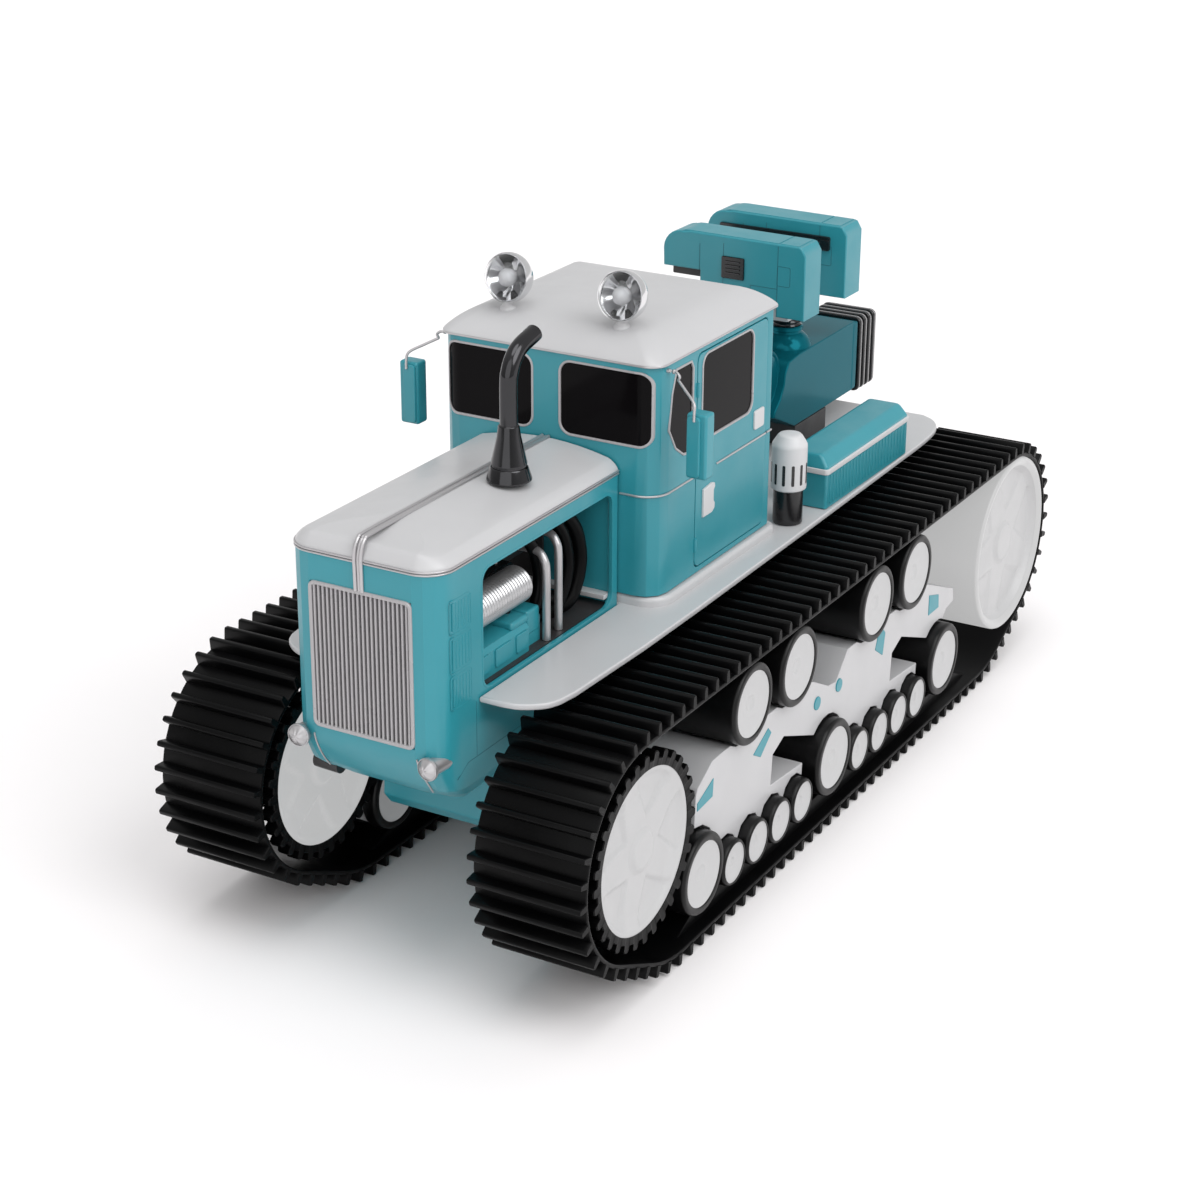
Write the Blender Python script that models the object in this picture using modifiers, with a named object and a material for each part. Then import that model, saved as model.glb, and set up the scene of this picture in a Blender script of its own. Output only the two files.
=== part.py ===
"""Crawler tractor kit: rubber tracks on bogie frames, a hooded engine bay, a cab and a slewing twin-pod turret.

Metres, +Z up. The nose points to -Y, and the tractor's left is +X. The origin is on the ground below the
middle of the object. Wheels, rollers and everything else that turns have their object origin on their axis.
"""

import math

import bmesh
import bpy
from mathutils import Matrix, Vector

# Running gear
AXLE_Z = 0.0571
FRONT_AXLE_Y = -0.165
REAR_AXLE_Y = 0.165
TRACK_X = 0.06505
TRACK_WIDTH = 0.0435
BELT_INNER_RADIUS = 0.0388
BELT_THICKNESS = 0.0017
BELT_RUN_Z = 0.0058
BELT_CORNER_Y = 0.1362
BELT_CORNER_RADIUS = 0.050
CLEAT_PITCH = 0.0082
CLEAT_TIP = 0.0021
CLEAT_ROOT = 0.0030
CLEAT_HEIGHT = 0.0041
RAIL_TOP_Z = 0.0122
RAIL_WIDTH = 0.033
WHEEL_WIDTH = 0.0429
FIT_GAP = 0.0003

SPROCKET_TEETH = 32
SPROCKET_TIP_RADIUS = 0.0354
SPROCKET_ROOT_RADIUS = 0.0326
SPROCKET_DISC = 0.0050
AXLE_RADIUS = 0.0060
IDLER_RADIUS = 0.0385
IDLER_DRUM = 0.0295

ROAD_FIRST_Y = -0.1217
ROAD_PITCH = 0.1085
ROAD_RADIUS = 0.0156
ROAD_Z = 0.0281
SMALL_FIRST_Y = -0.0977
SMALL_PITCH = 0.0189
SMALL_RADIUS = 0.0090
SMALL_Z = 0.0215
UPPER_FIRST_Y = -0.0859
UPPER_PITCH = 0.0378
UPPER_RADIUS = 0.0155
UPPER_Z = 0.0799
BOGIE_PITCH = 0.1078
ROLLER_NECK = 0.0030
SMALL_NECK = 0.0020

# Side frame, across the track from its middle plane
FRAME_INNER = -0.0160
FRAME_OUTER = 0.0170
WEB_INNER = -0.0150
WEB_OUTER = -0.0100

# Body
HOUSING_HALF = 0.0303
HOUSING_FRONT_Y = -0.2035
HOUSING_REAR_Y = -0.0863
HOUSING_BOTTOM_Z = 0.0700
HOUSING_TOP_Z = 0.1573
HOUSING_CORNER = 0.0100
WALL = 0.0020
BAY_FLOOR_Z = 0.1075
DECK_BOTTOM_Z = 0.1049
DECK_TOP_Z = 0.1072
PLINTH_TOP_Z = 0.1107
HULL_HALF = 0.0300
HULL_BOTTOM_Z = 0.0380
CAB_HALF = 0.0455
CAB_FRONT_Y = -0.0855
CAB_REAR_Y = 0.0080
CAB_CORNER = 0.0090
CAB_WALL = 0.0022
CAB_TOP_Z = 0.1977
ROOF_TOP_Z = 0.2063
DOOR_FRONT_Y = -0.0556
DOOR_REAR_Y = 0.0006
DOOR_BOTTOM_Z = 0.1134
DOOR_TOP_Z = 0.1951
TURRET_Y = 0.1110
POD_FRONT_Y = 0.0925
POD_REAR_Y = 0.1320


def clear_scene():
    for obj in list(bpy.data.objects):
        bpy.data.objects.remove(obj)


def new_collection(name):
    collection = bpy.data.collections.new(name)
    bpy.context.scene.collection.children.link(collection)
    return collection


def finish(name, colour, roughness, metallic):
    material = bpy.data.materials.new(name)
    material.use_nodes = True
    shader = material.node_tree.nodes["Principled BSDF"]
    shader.inputs["Base Color"].default_value = (*colour, 1)
    shader.inputs["Roughness"].default_value = roughness
    shader.inputs["Metallic"].default_value = metallic
    return material


clear_scene()
PARTS = new_collection("crawler_tractor")
CUTTERS = new_collection("cutters")
TEAL = finish("teal_enamel", (0.05, 0.32, 0.36), 0.45, 0.0)
TEAL_METALLIC = finish("teal_metallic", (0.03, 0.22, 0.27), 0.3, 0.6)
WHITE = finish("white_enamel", (0.75, 0.75, 0.76), 0.4, 0.0)
RUBBER = finish("black_rubber", (0.012, 0.012, 0.013), 0.7, 0.0)
CHROME = finish("chrome", (0.75, 0.75, 0.77), 0.15, 1.0)
GLASS = finish("black_glass", (0.01, 0.01, 0.011), 0.1, 0.0)
BLACK = finish("black_enamel", (0.015, 0.015, 0.017), 0.35, 0.2)


def place(name, mesh, material, origin=(0, 0, 0)):
    """An object of a mesh made in world coordinates, with its origin moved to a point."""
    mesh.name = name
    mesh.transform(Matrix.Translation(-Vector(origin)))
    mesh.materials.clear()
    mesh.materials.append(material)
    obj = bpy.data.objects.new(name, mesh)
    obj.location = origin
    PARTS.objects.link(obj)
    return obj


def shade_round(mesh):
    mesh.shade_smooth()
    mesh.set_sharp_from_angle(angle=math.radians(35))


def arc(y, z, radius, start, end, steps):
    """Points on an arc, angles in degrees."""
    angles = (math.radians(start + (end - start) * i / steps) for i in range(steps + 1))
    return [(y + radius * math.cos(a), z + radius * math.sin(a)) for a in angles]


def rounded_rectangle(low, high, radius, steps=3):
    corners = (
        (high[0] - radius, high[1] - radius, 0),
        (low[0] + radius, high[1] - radius, 90),
        (low[0] + radius, low[1] + radius, 180),
        (high[0] - radius, low[1] + radius, 270),
    )
    return [point for u, v, turn in corners for point in arc(u, v, radius, turn, turn + 90, steps)]


# Where an outline's own axes and its thickness go: columns are outline u, outline v and thickness.
ALONG_X = Matrix(((0, 0, 1, 0), (1, 0, 0, 0), (0, 1, 0, 0), (0, 0, 0, 1)))
ALONG_Y = Matrix(((1, 0, 0, 0), (0, 0, -1, 0), (0, 1, 0, 0), (0, 0, 0, 1)))
ALONG_Z = Matrix.Identity(4)


def plate(loops, start, end, direction=ALONG_Z):
    """A mesh of flat outlines, the second and later ones being holes, from start to end along a direction."""
    curve = bpy.data.curves.new("outline", "CURVE")
    curve.dimensions = "2D"
    curve.fill_mode = "BOTH"
    curve.extrude = (end - start) / 2
    for loop in loops:
        spline = curve.splines.new("POLY")
        spline.points.add(len(loop) - 1)
        for point, (u, v) in zip(spline.points, loop):
            point.co = (u, v, 0, 1)
        spline.use_cyclic_u = True
    middle = (start + end) / 2
    if direction is ALONG_Y:
        middle = -middle
    return mesh_of_curve(curve, direction @ Matrix.Translation((0, 0, middle)))


def mesh_of_curve(curve, matrix):
    """The closed mesh of a curve, with its caps welded."""
    obj = bpy.data.objects.new("curve", curve)
    bpy.context.scene.collection.objects.link(obj)
    mesh = bpy.data.meshes.new_from_object(obj.evaluated_get(bpy.context.evaluated_depsgraph_get()))
    bpy.data.objects.remove(obj)
    bm = bmesh.new()
    bm.from_mesh(mesh)
    bmesh.ops.remove_doubles(bm, verts=bm.verts, dist=0.00001)
    bmesh.ops.recalc_face_normals(bm, faces=bm.faces)
    bm.to_mesh(mesh)
    bm.free()
    mesh.transform(matrix)
    return mesh


def tube(points, radius):
    """The mesh of a round bar through points."""
    curve = bpy.data.curves.new("tube", "CURVE")
    curve.dimensions = "3D"
    curve.bevel_depth = radius
    curve.bevel_resolution = 2
    curve.use_fill_caps = True
    spline = curve.splines.new("POLY")
    spline.points.add(len(points) - 1)
    for point, at in zip(spline.points, points):
        point.co = (*at, 1)
    return mesh_of_curve(curve, Matrix.Identity(4))


def block(low, high, corner=0.0, top=0.0, segments=3):
    """The mesh of a box, with rounded upright edges and a rounded top rim where asked."""
    bm = bmesh.new()
    bmesh.ops.create_cube(bm, size=1)
    size = [h - b for h, b in zip(high, low)]
    middle = [(h + b) / 2 for h, b in zip(high, low)]
    bmesh.ops.scale(bm, vec=size, verts=bm.verts)
    bmesh.ops.translate(bm, vec=middle, verts=bm.verts)
    if corner:
        upright = [e for e in bm.edges if abs(e.verts[0].co.z - e.verts[1].co.z) > size[2] / 2]
        bmesh.ops.bevel(bm, geom=upright, offset=corner, segments=segments, affect="EDGES", profile=0.5)
    if top:
        rim = [e for e in bm.edges if min(v.co.z for v in e.verts) > high[2] - 0.00001]
        bmesh.ops.bevel(bm, geom=rim, offset=top, segments=segments, affect="EDGES", profile=0.5)
    mesh = bpy.data.meshes.new("block")
    bm.to_mesh(mesh)
    bm.free()
    return mesh


def turned(name, profile, steps, material, location, turn=(0, 0, 0)):
    """A solid turned about its own Z from a profile of radius and height, top to bottom."""
    mesh = bpy.data.meshes.new(name)
    edges = [(i, i + 1) for i in range(len(profile) - 1)]
    mesh.from_pydata([(r, 0, z) for r, z in profile], edges, [])
    obj = bpy.data.objects.new(name, mesh)
    mesh.materials.append(material)
    screw = obj.modifiers.new("turn", "SCREW")
    screw.steps = steps
    screw.render_steps = steps
    screw.use_merge_vertices = True
    screw.merge_threshold = 0.00005
    obj.location = location
    obj.rotation_euler = turn
    PARTS.objects.link(obj)
    return obj


def modified(obj, operation, meshes, solver="EXACT"):
    """Adds a Boolean for each mesh, kept as a hidden helper."""
    for index, mesh in enumerate(meshes):
        helper = bpy.data.objects.new(f"{obj.name}_{operation.lower()}_{index}", mesh)
        helper.hide_render = True
        helper.display_type = "WIRE"
        CUTTERS.objects.link(helper)
        boolean = obj.modifiers.new(f"{operation.lower()}_{index}", "BOOLEAN")
        boolean.operation = operation
        boolean.solver = solver
        boolean.object = helper
    return obj


def world_mesh(obj):
    """The evaluated mesh of an object in world coordinates."""
    bpy.context.view_layer.update()
    graph = bpy.context.evaluated_depsgraph_get()
    mesh = bpy.data.meshes.new_from_object(obj.evaluated_get(graph))
    mesh.transform(obj.matrix_world)
    return mesh


def right_hand_twin(obj, name):
    """The mirror image across the middle plane, on the tractor's right."""
    mesh = world_mesh(obj)
    mesh.transform(Matrix.Scale(-1, 4, (1, 0, 0)))
    mesh.flip_normals()
    origin = (-obj.location.x, obj.location.y, obj.location.z)
    return place(name, mesh, obj.data.materials[0], origin)


SIDES = (("left", 1), ("right", -1))


def on_axle(side, y, z):
    """The place and turn that put a solid's own Z across the track, outward."""
    return (side * TRACK_X, y, z), (0, side * math.pi / 2, 0)


def belt_arcs(offset):
    """Centres and radii of the four arcs of the loop, offset outward from its inner face, nose first."""
    corner_z = BELT_RUN_Z + BELT_CORNER_RADIUS
    return (
        ((FRONT_AXLE_Y, AXLE_Z), BELT_INNER_RADIUS + offset),
        ((-BELT_CORNER_Y, corner_z), BELT_CORNER_RADIUS + offset),
        ((BELT_CORNER_Y, corner_z), BELT_CORNER_RADIUS + offset),
        ((REAR_AXLE_Y, AXLE_Z), BELT_INNER_RADIUS + offset),
    )


def tangent_angle(first, second):
    """The direction from both centres to the outer line that touches two arcs."""
    (y0, z0), r0 = first
    (y1, z1), r1 = second
    distance = math.hypot(y1 - y0, z1 - z0)
    return math.atan2(z1 - z0, y1 - y0) - math.acos((r0 - r1) / distance)


def belt_stretches(offset):
    """(length, point function) of each arc and straight; the function gives a point and its outward angle."""
    arcs = belt_arcs(offset)
    angles = [tangent_angle(arcs[i], arcs[(i + 1) % 4]) for i in range(4)]
    stretches = []
    for i, ((y, z), radius) in enumerate(arcs):
        start = angles[i - 1]
        sweep = (angles[i] - start) % (2 * math.pi)

        def on_arc(along, y=y, z=z, radius=radius, start=start):
            angle = start + along / radius
            return y + radius * math.cos(angle), z + radius * math.sin(angle), angle

        (y1, z1), radius1 = arcs[(i + 1) % 4]
        begin = Vector((y + radius * math.cos(angles[i]), z + radius * math.sin(angles[i])))
        end = Vector((y1 + radius1 * math.cos(angles[i]), z1 + radius1 * math.sin(angles[i])))

        def on_line(along, begin=begin, end=end, angle=angles[i]):
            point = begin + (end - begin).normalized() * along
            return point.x, point.y, angle

        stretches.append((radius * sweep, on_arc))
        stretches.append(((end - begin).length, on_line))
    return stretches


def belt_outline(offset, arc_steps):
    """The plain loop as points, with steps on the arcs only."""
    points = []
    for index, (length, at) in enumerate(belt_stretches(offset)):
        steps = arc_steps[index // 2] if index % 2 == 0 else 0
        points += [at(length * i / steps)[:2] for i in range(steps + 1)] if steps else []
    return points


def cleated_outline():
    """The outer face of the belt, with a bar at every pitch."""
    stretches = belt_stretches(BELT_THICKNESS)
    total = sum(length for length, _ in stretches)
    count = round(total / CLEAT_PITCH)
    points = []
    for index in range(count):
        along = total * index / count
        for shift, lift in (
            (-CLEAT_ROOT / 2, 0),
            (-CLEAT_TIP / 2, CLEAT_HEIGHT),
            (CLEAT_TIP / 2, CLEAT_HEIGHT),
            (CLEAT_ROOT / 2, 0),
        ):
            y, z, angle = point_along(stretches, along)
            tangent = angle + math.pi / 2
            points.append(
                (
                    y + lift * math.cos(angle) + shift * math.cos(tangent),
                    z + lift * math.sin(angle) + shift * math.sin(tangent),
                )
            )
    return points


def point_along(stretches, along):
    for length, at in stretches:
        if along < length:
            return at(along)
        along -= length
    return at(length)


def make_belts():
    """One endless cleated band a side, with the guide rail that its lower rollers run on."""
    inner = belt_outline(0, (20, 4, 4, 20))
    belt = place(
        "track_belt_left",
        plate((cleated_outline(), inner), TRACK_X - TRACK_WIDTH / 2, TRACK_X + TRACK_WIDTH / 2, ALONG_X),
        RUBBER,
    )
    rail_end = BELT_CORNER_Y - 0.002
    rail_ramp = 0.016
    buried = BELT_RUN_Z - 0.0009
    rail = (
        (-rail_end, buried),
        (rail_end, buried),
        (rail_end - rail_ramp, RAIL_TOP_Z),
        (-rail_end + rail_ramp, RAIL_TOP_Z),
    )
    rail_mesh = plate((rail,), TRACK_X - RAIL_WIDTH / 2, TRACK_X + RAIL_WIDTH / 2, ALONG_X)
    modified(belt, "UNION", [rail_mesh], "MANIFOLD")
    right_hand_twin(belt, "track_belt_right")


def toothed_loop():
    """Sprocket outline with flat-topped teeth."""
    step = 2 * math.pi / SPROCKET_TEETH
    loop = []
    for tooth in range(SPROCKET_TEETH):
        for share, radius in (
            (-0.20, SPROCKET_TIP_RADIUS),
            (0.20, SPROCKET_TIP_RADIUS),
            (0.50, SPROCKET_ROOT_RADIUS),
        ):
            angle = (tooth + share) * step
            loop.append((radius * math.cos(angle), radius * math.sin(angle)))
    return loop


def make_sprockets():
    half = WHEEL_WIDTH / 2
    for word, side in SIDES:
        location, turn = on_axle(side, FRONT_AXLE_Y, AXLE_Z)
        profile = [(0, half - 0.001), (AXLE_RADIUS, half - 0.001)]
        profile += [(AXLE_RADIUS, 0.001 - half), (0, 0.001 - half)]
        sprocket = turned(f"drive_sprocket_{word}", profile, 16, RUBBER, location, turn)
        discs = [plate((toothed_loop(),), half - SPROCKET_DISC, half)]
        discs.append(plate((toothed_loop(),), -half, SPROCKET_DISC - half))
        placement = Matrix.Translation(location) @ Matrix.Rotation(turn[1], 4, "Y")
        for disc in discs:
            disc.transform(placement)
        modified(sprocket, "UNION", discs)


def make_idlers():
    """Wide drum outside the side frame, dished on its face and open inward, on an axle with a disc inside."""
    half = WHEEL_WIDTH / 2
    rim = IDLER_RADIUS - 0.0030
    drum_inner = half - IDLER_DRUM
    profile = [
        (0, half - 0.0025),
        (rim, half - 0.0025),
        (rim, half),
        (IDLER_RADIUS, half),
        (IDLER_RADIUS, drum_inner),
        (rim - 0.001, drum_inner),
        (rim - 0.001, half - 0.0065),
        (AXLE_RADIUS, half - 0.0065),
        (AXLE_RADIUS, SPROCKET_DISC - half),
        (IDLER_RADIUS, SPROCKET_DISC - half),
        (IDLER_RADIUS, -half),
        (0, -half),
    ]
    for word, side in SIDES:
        location, turn = on_axle(side, REAR_AXLE_Y, AXLE_Z)
        turned(f"idler_wheel_{word}", profile, 22, WHITE, location, turn)


def roller_profile(radius, neck):
    half = WHEEL_WIDTH / 2
    return [
        (0, half),
        (radius, half),
        (radius, WEB_OUTER + FIT_GAP),
        (neck, WEB_OUTER + FIT_GAP),
        (neck, WEB_INNER - FIT_GAP),
        (radius, WEB_INNER - FIT_GAP),
        (radius, -half),
        (0, -half),
    ]


def road_places():
    return [ROAD_FIRST_Y + ROAD_PITCH * i for i in range(3)]


def small_places():
    return [SMALL_FIRST_Y + ROAD_PITCH * g + SMALL_PITCH * i for g in range(2) for i in range(4)]


def upper_places():
    return [UPPER_FIRST_Y + BOGIE_PITCH * g + UPPER_PITCH * i for g in range(2) for i in range(2)]


def make_rollers():
    kinds = (
        ("road_wheel", road_places(), ROAD_Z, ROAD_RADIUS, ROLLER_NECK, 14),
        ("small_roller", small_places(), SMALL_Z, SMALL_RADIUS, SMALL_NECK, 10),
        ("upper_roller", upper_places(), UPPER_Z, UPPER_RADIUS, ROLLER_NECK, 14),
    )
    for word, side in SIDES:
        for kind, places, z, radius, neck, steps in kinds:
            for number, y in enumerate(places, 1):
                location, turn = on_axle(side, y, z)
                name = f"{kind}_{word}_{number}"
                turned(name, roller_profile(radius, neck), steps, RUBBER, location, turn)


def upper_crossing(first, second):
    """The higher point where two circles of equal or unlike size cross; circles are y, z and radius."""
    (y0, z0, r0), (y1, z1, r1) = first, second
    distance = math.hypot(y1 - y0, z1 - z0)
    along = (distance**2 + r0**2 - r1**2) / (2 * distance)
    rise = math.sqrt(max(r0**2 - along**2, 0))
    uy, uz = (y1 - y0) / distance, (z1 - z0) / distance
    options = ((y0 + along * uy + s * rise * -uz, z0 + along * uz + s * rise * uy) for s in (1, -1))
    return max(options, key=lambda point: point[1])


def scallops(circles, first, last):
    """An edge over a row of pockets, from the point first to the point last, both on the end circles."""
    ends = [first] + [upper_crossing(a, b) for a, b in zip(circles, circles[1:])] + [last]
    points = []
    for (y, z, radius), start, end in zip(circles, ends, ends[1:]):
        a = math.degrees(math.atan2(start[1] - z, start[0] - y))
        b = math.degrees(math.atan2(end[1] - z, end[0] - y))
        points += arc(y, z, radius, a, b, 4)[:-1]
    return points + [last]


def on_circle(circle, degrees):
    y, z, radius = circle
    return y + radius * math.cos(math.radians(degrees)), z + radius * math.sin(math.radians(degrees))


def frame_outline():
    """The bogie casting seen from the side: sloped ends, seats for the upper rollers and pockets for the lower."""
    road = [(y, ROAD_Z, ROAD_RADIUS + 0.0012) for y in road_places()]
    small = [(y, SMALL_Z, SMALL_RADIUS + 0.0009) for y in small_places()]
    top = 0.0662
    clearance = UPPER_RADIUS + 0.0010
    seat = math.degrees(math.asin((UPPER_Z - top) / clearance))
    upper = upper_places()
    seats = [arc(y, UPPER_Z, clearance, 180 + seat, 360 - seat, 4) for y in upper]
    loop = [(-0.1217, 0.0460), (-0.1210, 0.0568), (-0.1198, 0.0597), (-0.1088, 0.0660), (-0.1030, top)]
    loop += seats[0] + seats[1]
    loop += [(-0.0265, 0.0645), (-0.0122, 0.0572), (-0.0053, 0.0563), (0.0047, top)]
    loop += seats[2] + seats[3]
    loop += [(0.0818, top), (0.1117, 0.0538), (0.1125, 0.0480), (0.1050, 0.0468)]
    for group in (1, 0):
        rollers = small[4 * group : 4 * group + 4]
        wheel = road[group + 1]
        loop += arc(*wheel, 68, 130, 4)
        notch = rollers[0][0]
        loop += [(notch + 0.0471, 0.0515), (notch + 0.0380, 0.0477), (notch + 0.0370, 0.0356)]
        loop.append((notch + 0.0644, 0.0334))
        first = on_circle(rollers[3], 42)
        last_circle = road[group]
        row = rollers[::-1] + [last_circle]
        last = on_circle(last_circle, 68 if group else 90)
        loop += scallops(row, first, last)[: None if group == 0 else -1]
    return loop


def web_outline():
    """The thin plate that carries every axle of one side."""
    loop = arc(FRONT_AXLE_Y, AXLE_Z, 0.010, 250, 100, 5)
    for y in upper_places():
        loop += [(y - 0.006, 0.0640), *arc(y, UPPER_Z, 0.006, 180, 0, 3), (y + 0.006, 0.0640)]
    loop += arc(REAR_AXLE_Y, AXLE_Z, 0.010, 80, -70, 5)
    loop += [(0.1080, 0.0195), (0.1020, 0.0155), (-0.1290, 0.0155), (-0.1360, 0.0200)]
    return loop


def round_loop(u, v, radius, steps):
    return arc(u, v, radius, 0, 360 - 360 / steps, steps - 1)


def bore(y, z, radius, steps=8):
    """A hole whose flats clear a shaft of this radius."""
    return round_loop(y, z, (radius + FIT_GAP) / math.cos(math.pi / steps), steps)


def make_frames():
    bores = [bore(y, AXLE_Z, AXLE_RADIUS, 12) for y in (FRONT_AXLE_Y, REAR_AXLE_Y)]
    bores += [bore(y, ROAD_Z, ROLLER_NECK) for y in road_places()]
    bores += [bore(y, SMALL_Z, SMALL_NECK) for y in small_places()]
    bores += [bore(y, UPPER_Z, ROLLER_NECK) for y in upper_places()]
    casting = plate((frame_outline(),), TRACK_X + FRAME_INNER, TRACK_X + FRAME_OUTER, ALONG_X)
    frame = place("track_frame_left", casting, WHITE)
    web = plate((web_outline(), *bores), TRACK_X + WEB_INNER, TRACK_X + WEB_OUTER, ALONG_X)
    beams = [block((HULL_HALF + FIT_GAP, y - 0.009, 0.041), (0.0515, y + 0.009, 0.056)) for y in (-0.068, 0.040)]
    modified(frame, "UNION", [web, *beams], "MANIFOLD")
    right_hand_twin(frame, "track_frame_right")


def make_hull():
    side = [(-0.149, 0.0697), (-0.151, 0.0430), (-0.147, HULL_BOTTOM_Z), (0.147, HULL_BOTTOM_Z)]
    side += [(0.153, 0.0440), (0.153, 0.1046), (HOUSING_REAR_Y + 0.0005, 0.1046), (HOUSING_REAR_Y + 0.0005, 0.0697)]
    place("hull", plate((side,), -HULL_HALF, HULL_HALF, ALONG_X), TEAL)


def make_deck():
    """Two wings beside the engine housing that join behind it, with a low plinth for the cab."""
    half = [(HOUSING_HALF + FIT_GAP, -0.1797), (0.0386, -0.1797), (0.0456, -0.1784), (0.0523, -0.1735)]
    half += [(0.0550, -0.1683), (0.0562, -0.1600), (0.0575, -0.1150), (0.0575, -0.0750), (0.0565, 0.0110)]
    half += [(0.0550, 0.1100), (0.0544, 0.1380), (0.0525, 0.1550), (0.0475, 0.1650), (0.0404, 0.1700)]
    loop = half + [(-x, y) for x, y in reversed(half)]
    notch = HOUSING_REAR_Y + 0.0003
    loop += [(-HOUSING_HALF - FIT_GAP, notch), (HOUSING_HALF + FIT_GAP, notch)]
    deck = place("deck", plate((loop,), DECK_BOTTOM_Z, DECK_TOP_Z), WHITE)
    plinth_half = CAB_HALF + 0.0020
    low = (-plinth_half, CAB_FRONT_Y + 0.0002)
    rim = rounded_rectangle(low, (plinth_half, CAB_REAR_Y + 0.0020), 0.010)
    plinth = plate((rim,), DECK_BOTTOM_Z + 0.001, PLINTH_TOP_Z)
    modified(deck, "UNION", [plinth])


def housing_outline(inset):
    """The plan of the engine housing: round front corners and a square rear."""
    half = HOUSING_HALF - inset
    front = HOUSING_FRONT_Y + inset
    radius = HOUSING_CORNER - inset
    loop = [(half, HOUSING_REAR_Y - inset), (-half, HOUSING_REAR_Y - inset)]
    loop += arc(radius - half, front + radius, radius, 180, 270, 4)
    loop += arc(half - radius, front + radius, radius, 270, 360, 4)
    return loop


def make_engine_housing():
    shell = plate((housing_outline(0),), HOUSING_BOTTOM_Z, HOUSING_TOP_Z)
    bm = bmesh.new()
    bm.from_mesh(shell)
    bmesh.ops.dissolve_limit(bm, angle_limit=0.01, verts=bm.verts, edges=bm.edges)
    rim = [
        edge
        for edge in bm.edges
        if max(v.co.z for v in edge.verts) < HOUSING_BOTTOM_Z + 0.0001
        and min(v.co.y for v in edge.verts) < HOUSING_REAR_Y - 0.001
    ]
    bmesh.ops.bevel(bm, geom=rim, offset=0.007, segments=3, affect="EDGES", profile=0.5)
    bm.to_mesh(shell)
    bm.free()
    housing = place("engine_housing", shell, TEAL)
    cavity = plate((housing_outline(WALL),), BAY_FLOOR_Z, HOUSING_TOP_Z + 0.005)
    opening = rounded_rectangle((-0.1770, 0.1080), (-0.0900, 0.1515), 0.005)
    window = plate((opening,), -0.040, 0.040, ALONG_X)
    seat = block((-0.0199, HOUSING_FRONT_Y - 0.005, 0.0949), (0.0199, HOUSING_FRONT_Y + 0.0035, 0.1469))
    modified(housing, "DIFFERENCE", [cavity, window, seat])


def make_hood_top():
    """Crowned cap on the housing, with the same plan."""
    section = [(-0.0303, 0.1576), (-0.0303, 0.1590), (-0.0288, 0.1615), (-0.0240, 0.1636), (-0.0120, 0.1652)]
    section += [(0, 0.1657)]
    loop = section + [(-x, z) for x, z in reversed(section[:-1])]
    cap = place("hood_top", plate((loop,), HOUSING_FRONT_Y - 0.002, HOUSING_REAR_Y, ALONG_Y), WHITE)
    modified(cap, "INTERSECT", [plate((housing_outline(0),), 0.150, 0.170)])


def make_grille():
    """A back plate with upright bars on it, in one piece."""
    half = 0.0196
    bars = 22
    pitch = 2 * half / bars
    back = HOUSING_FRONT_Y + 0.0032
    valley = HOUSING_FRONT_Y + 0.0014
    crest = HOUSING_FRONT_Y - 0.0006
    loop = []
    for bar in range(bars):
        start = -half + pitch * (bar + 0.2)
        end = -half + pitch * (bar + 0.8)
        loop += [(start, valley), (start, crest), (end, crest), (end, valley)]
    loop = [(-half, back), (-half, valley), *loop, (half, valley), (half, back)]
    place("grille", plate((loop,), 0.0952, 0.1466), CHROME)


def window_cutters():
    """Both windscreens, the quarter lights and the rear window."""
    cutters = []
    for side in (1, -1):
        low, high = sorted((side * 0.0058, side * 0.0423))
        screen = rounded_rectangle((low, 0.1680), (high, 0.1950), 0.0045)
        cutters.append(plate((screen,), CAB_FRONT_Y - 0.004, CAB_FRONT_Y + 0.007, ALONG_Y))
    quarter = [(-0.0720, 0.1940), (-0.0750, 0.1860), (-0.0770, 0.1730), (-0.0720, 0.1650), (-0.0660, 0.1610)]
    quarter += [(-0.0595, 0.1600), (-0.0595, 0.1915), (-0.0610, 0.1940)]
    cutters.append(plate((quarter,), -0.060, 0.060, ALONG_X))
    rear = rounded_rectangle((-0.0300, 0.1680), (0.0300, 0.1930), 0.0045)
    cutters.append(plate((rear,), CAB_REAR_Y - 0.007, CAB_REAR_Y + 0.004, ALONG_Y))
    return cutters


def cab_ring(inset, thickness, bottom, top):
    outer, inner = (
        rounded_rectangle((-CAB_HALF + i, CAB_FRONT_Y + i), (CAB_HALF - i, CAB_REAR_Y - i), CAB_CORNER - i)
        for i in (inset, inset + thickness)
    )
    return plate((outer, inner), bottom, top)


def door_loop(margin):
    low = (DOOR_FRONT_Y - margin, DOOR_BOTTOM_Z - margin)
    return rounded_rectangle(low, (DOOR_REAR_Y + margin, DOOR_TOP_Z + margin), 0.003)


def make_cab():
    shell = place("cab_shell", cab_ring(0, CAB_WALL, PLINTH_TOP_Z + FIT_GAP, CAB_TOP_Z), TEAL)
    doorway = plate((door_loop(0.0004),), -0.060, 0.060, ALONG_X)
    modified(shell, "DIFFERENCE", [*window_cutters(), doorway])
    glazing = place("cab_glazing", cab_ring(CAB_WALL + FIT_GAP, 0.0010, 0.1585, 0.1974), GLASS)
    clear = [(DOOR_FRONT_Y - 0.001, 0.150), (DOOR_REAR_Y + 0.001, 0.150)]
    clear += [(DOOR_REAR_Y + 0.001, DOOR_TOP_Z + 0.0006), (DOOR_FRONT_Y - 0.001, DOOR_TOP_Z + 0.0006)]
    modified(glazing, "DIFFERENCE", [plate((clear,), -0.060, 0.060, ALONG_X)])
    roof = block((-0.0460, CAB_FRONT_Y - 0.0005, 0.1980), (0.0460, CAB_REAR_Y + 0.0005, ROOF_TOP_Z), 0.0095, 0.0078)
    place("cab_roof", roof, WHITE)


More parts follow.
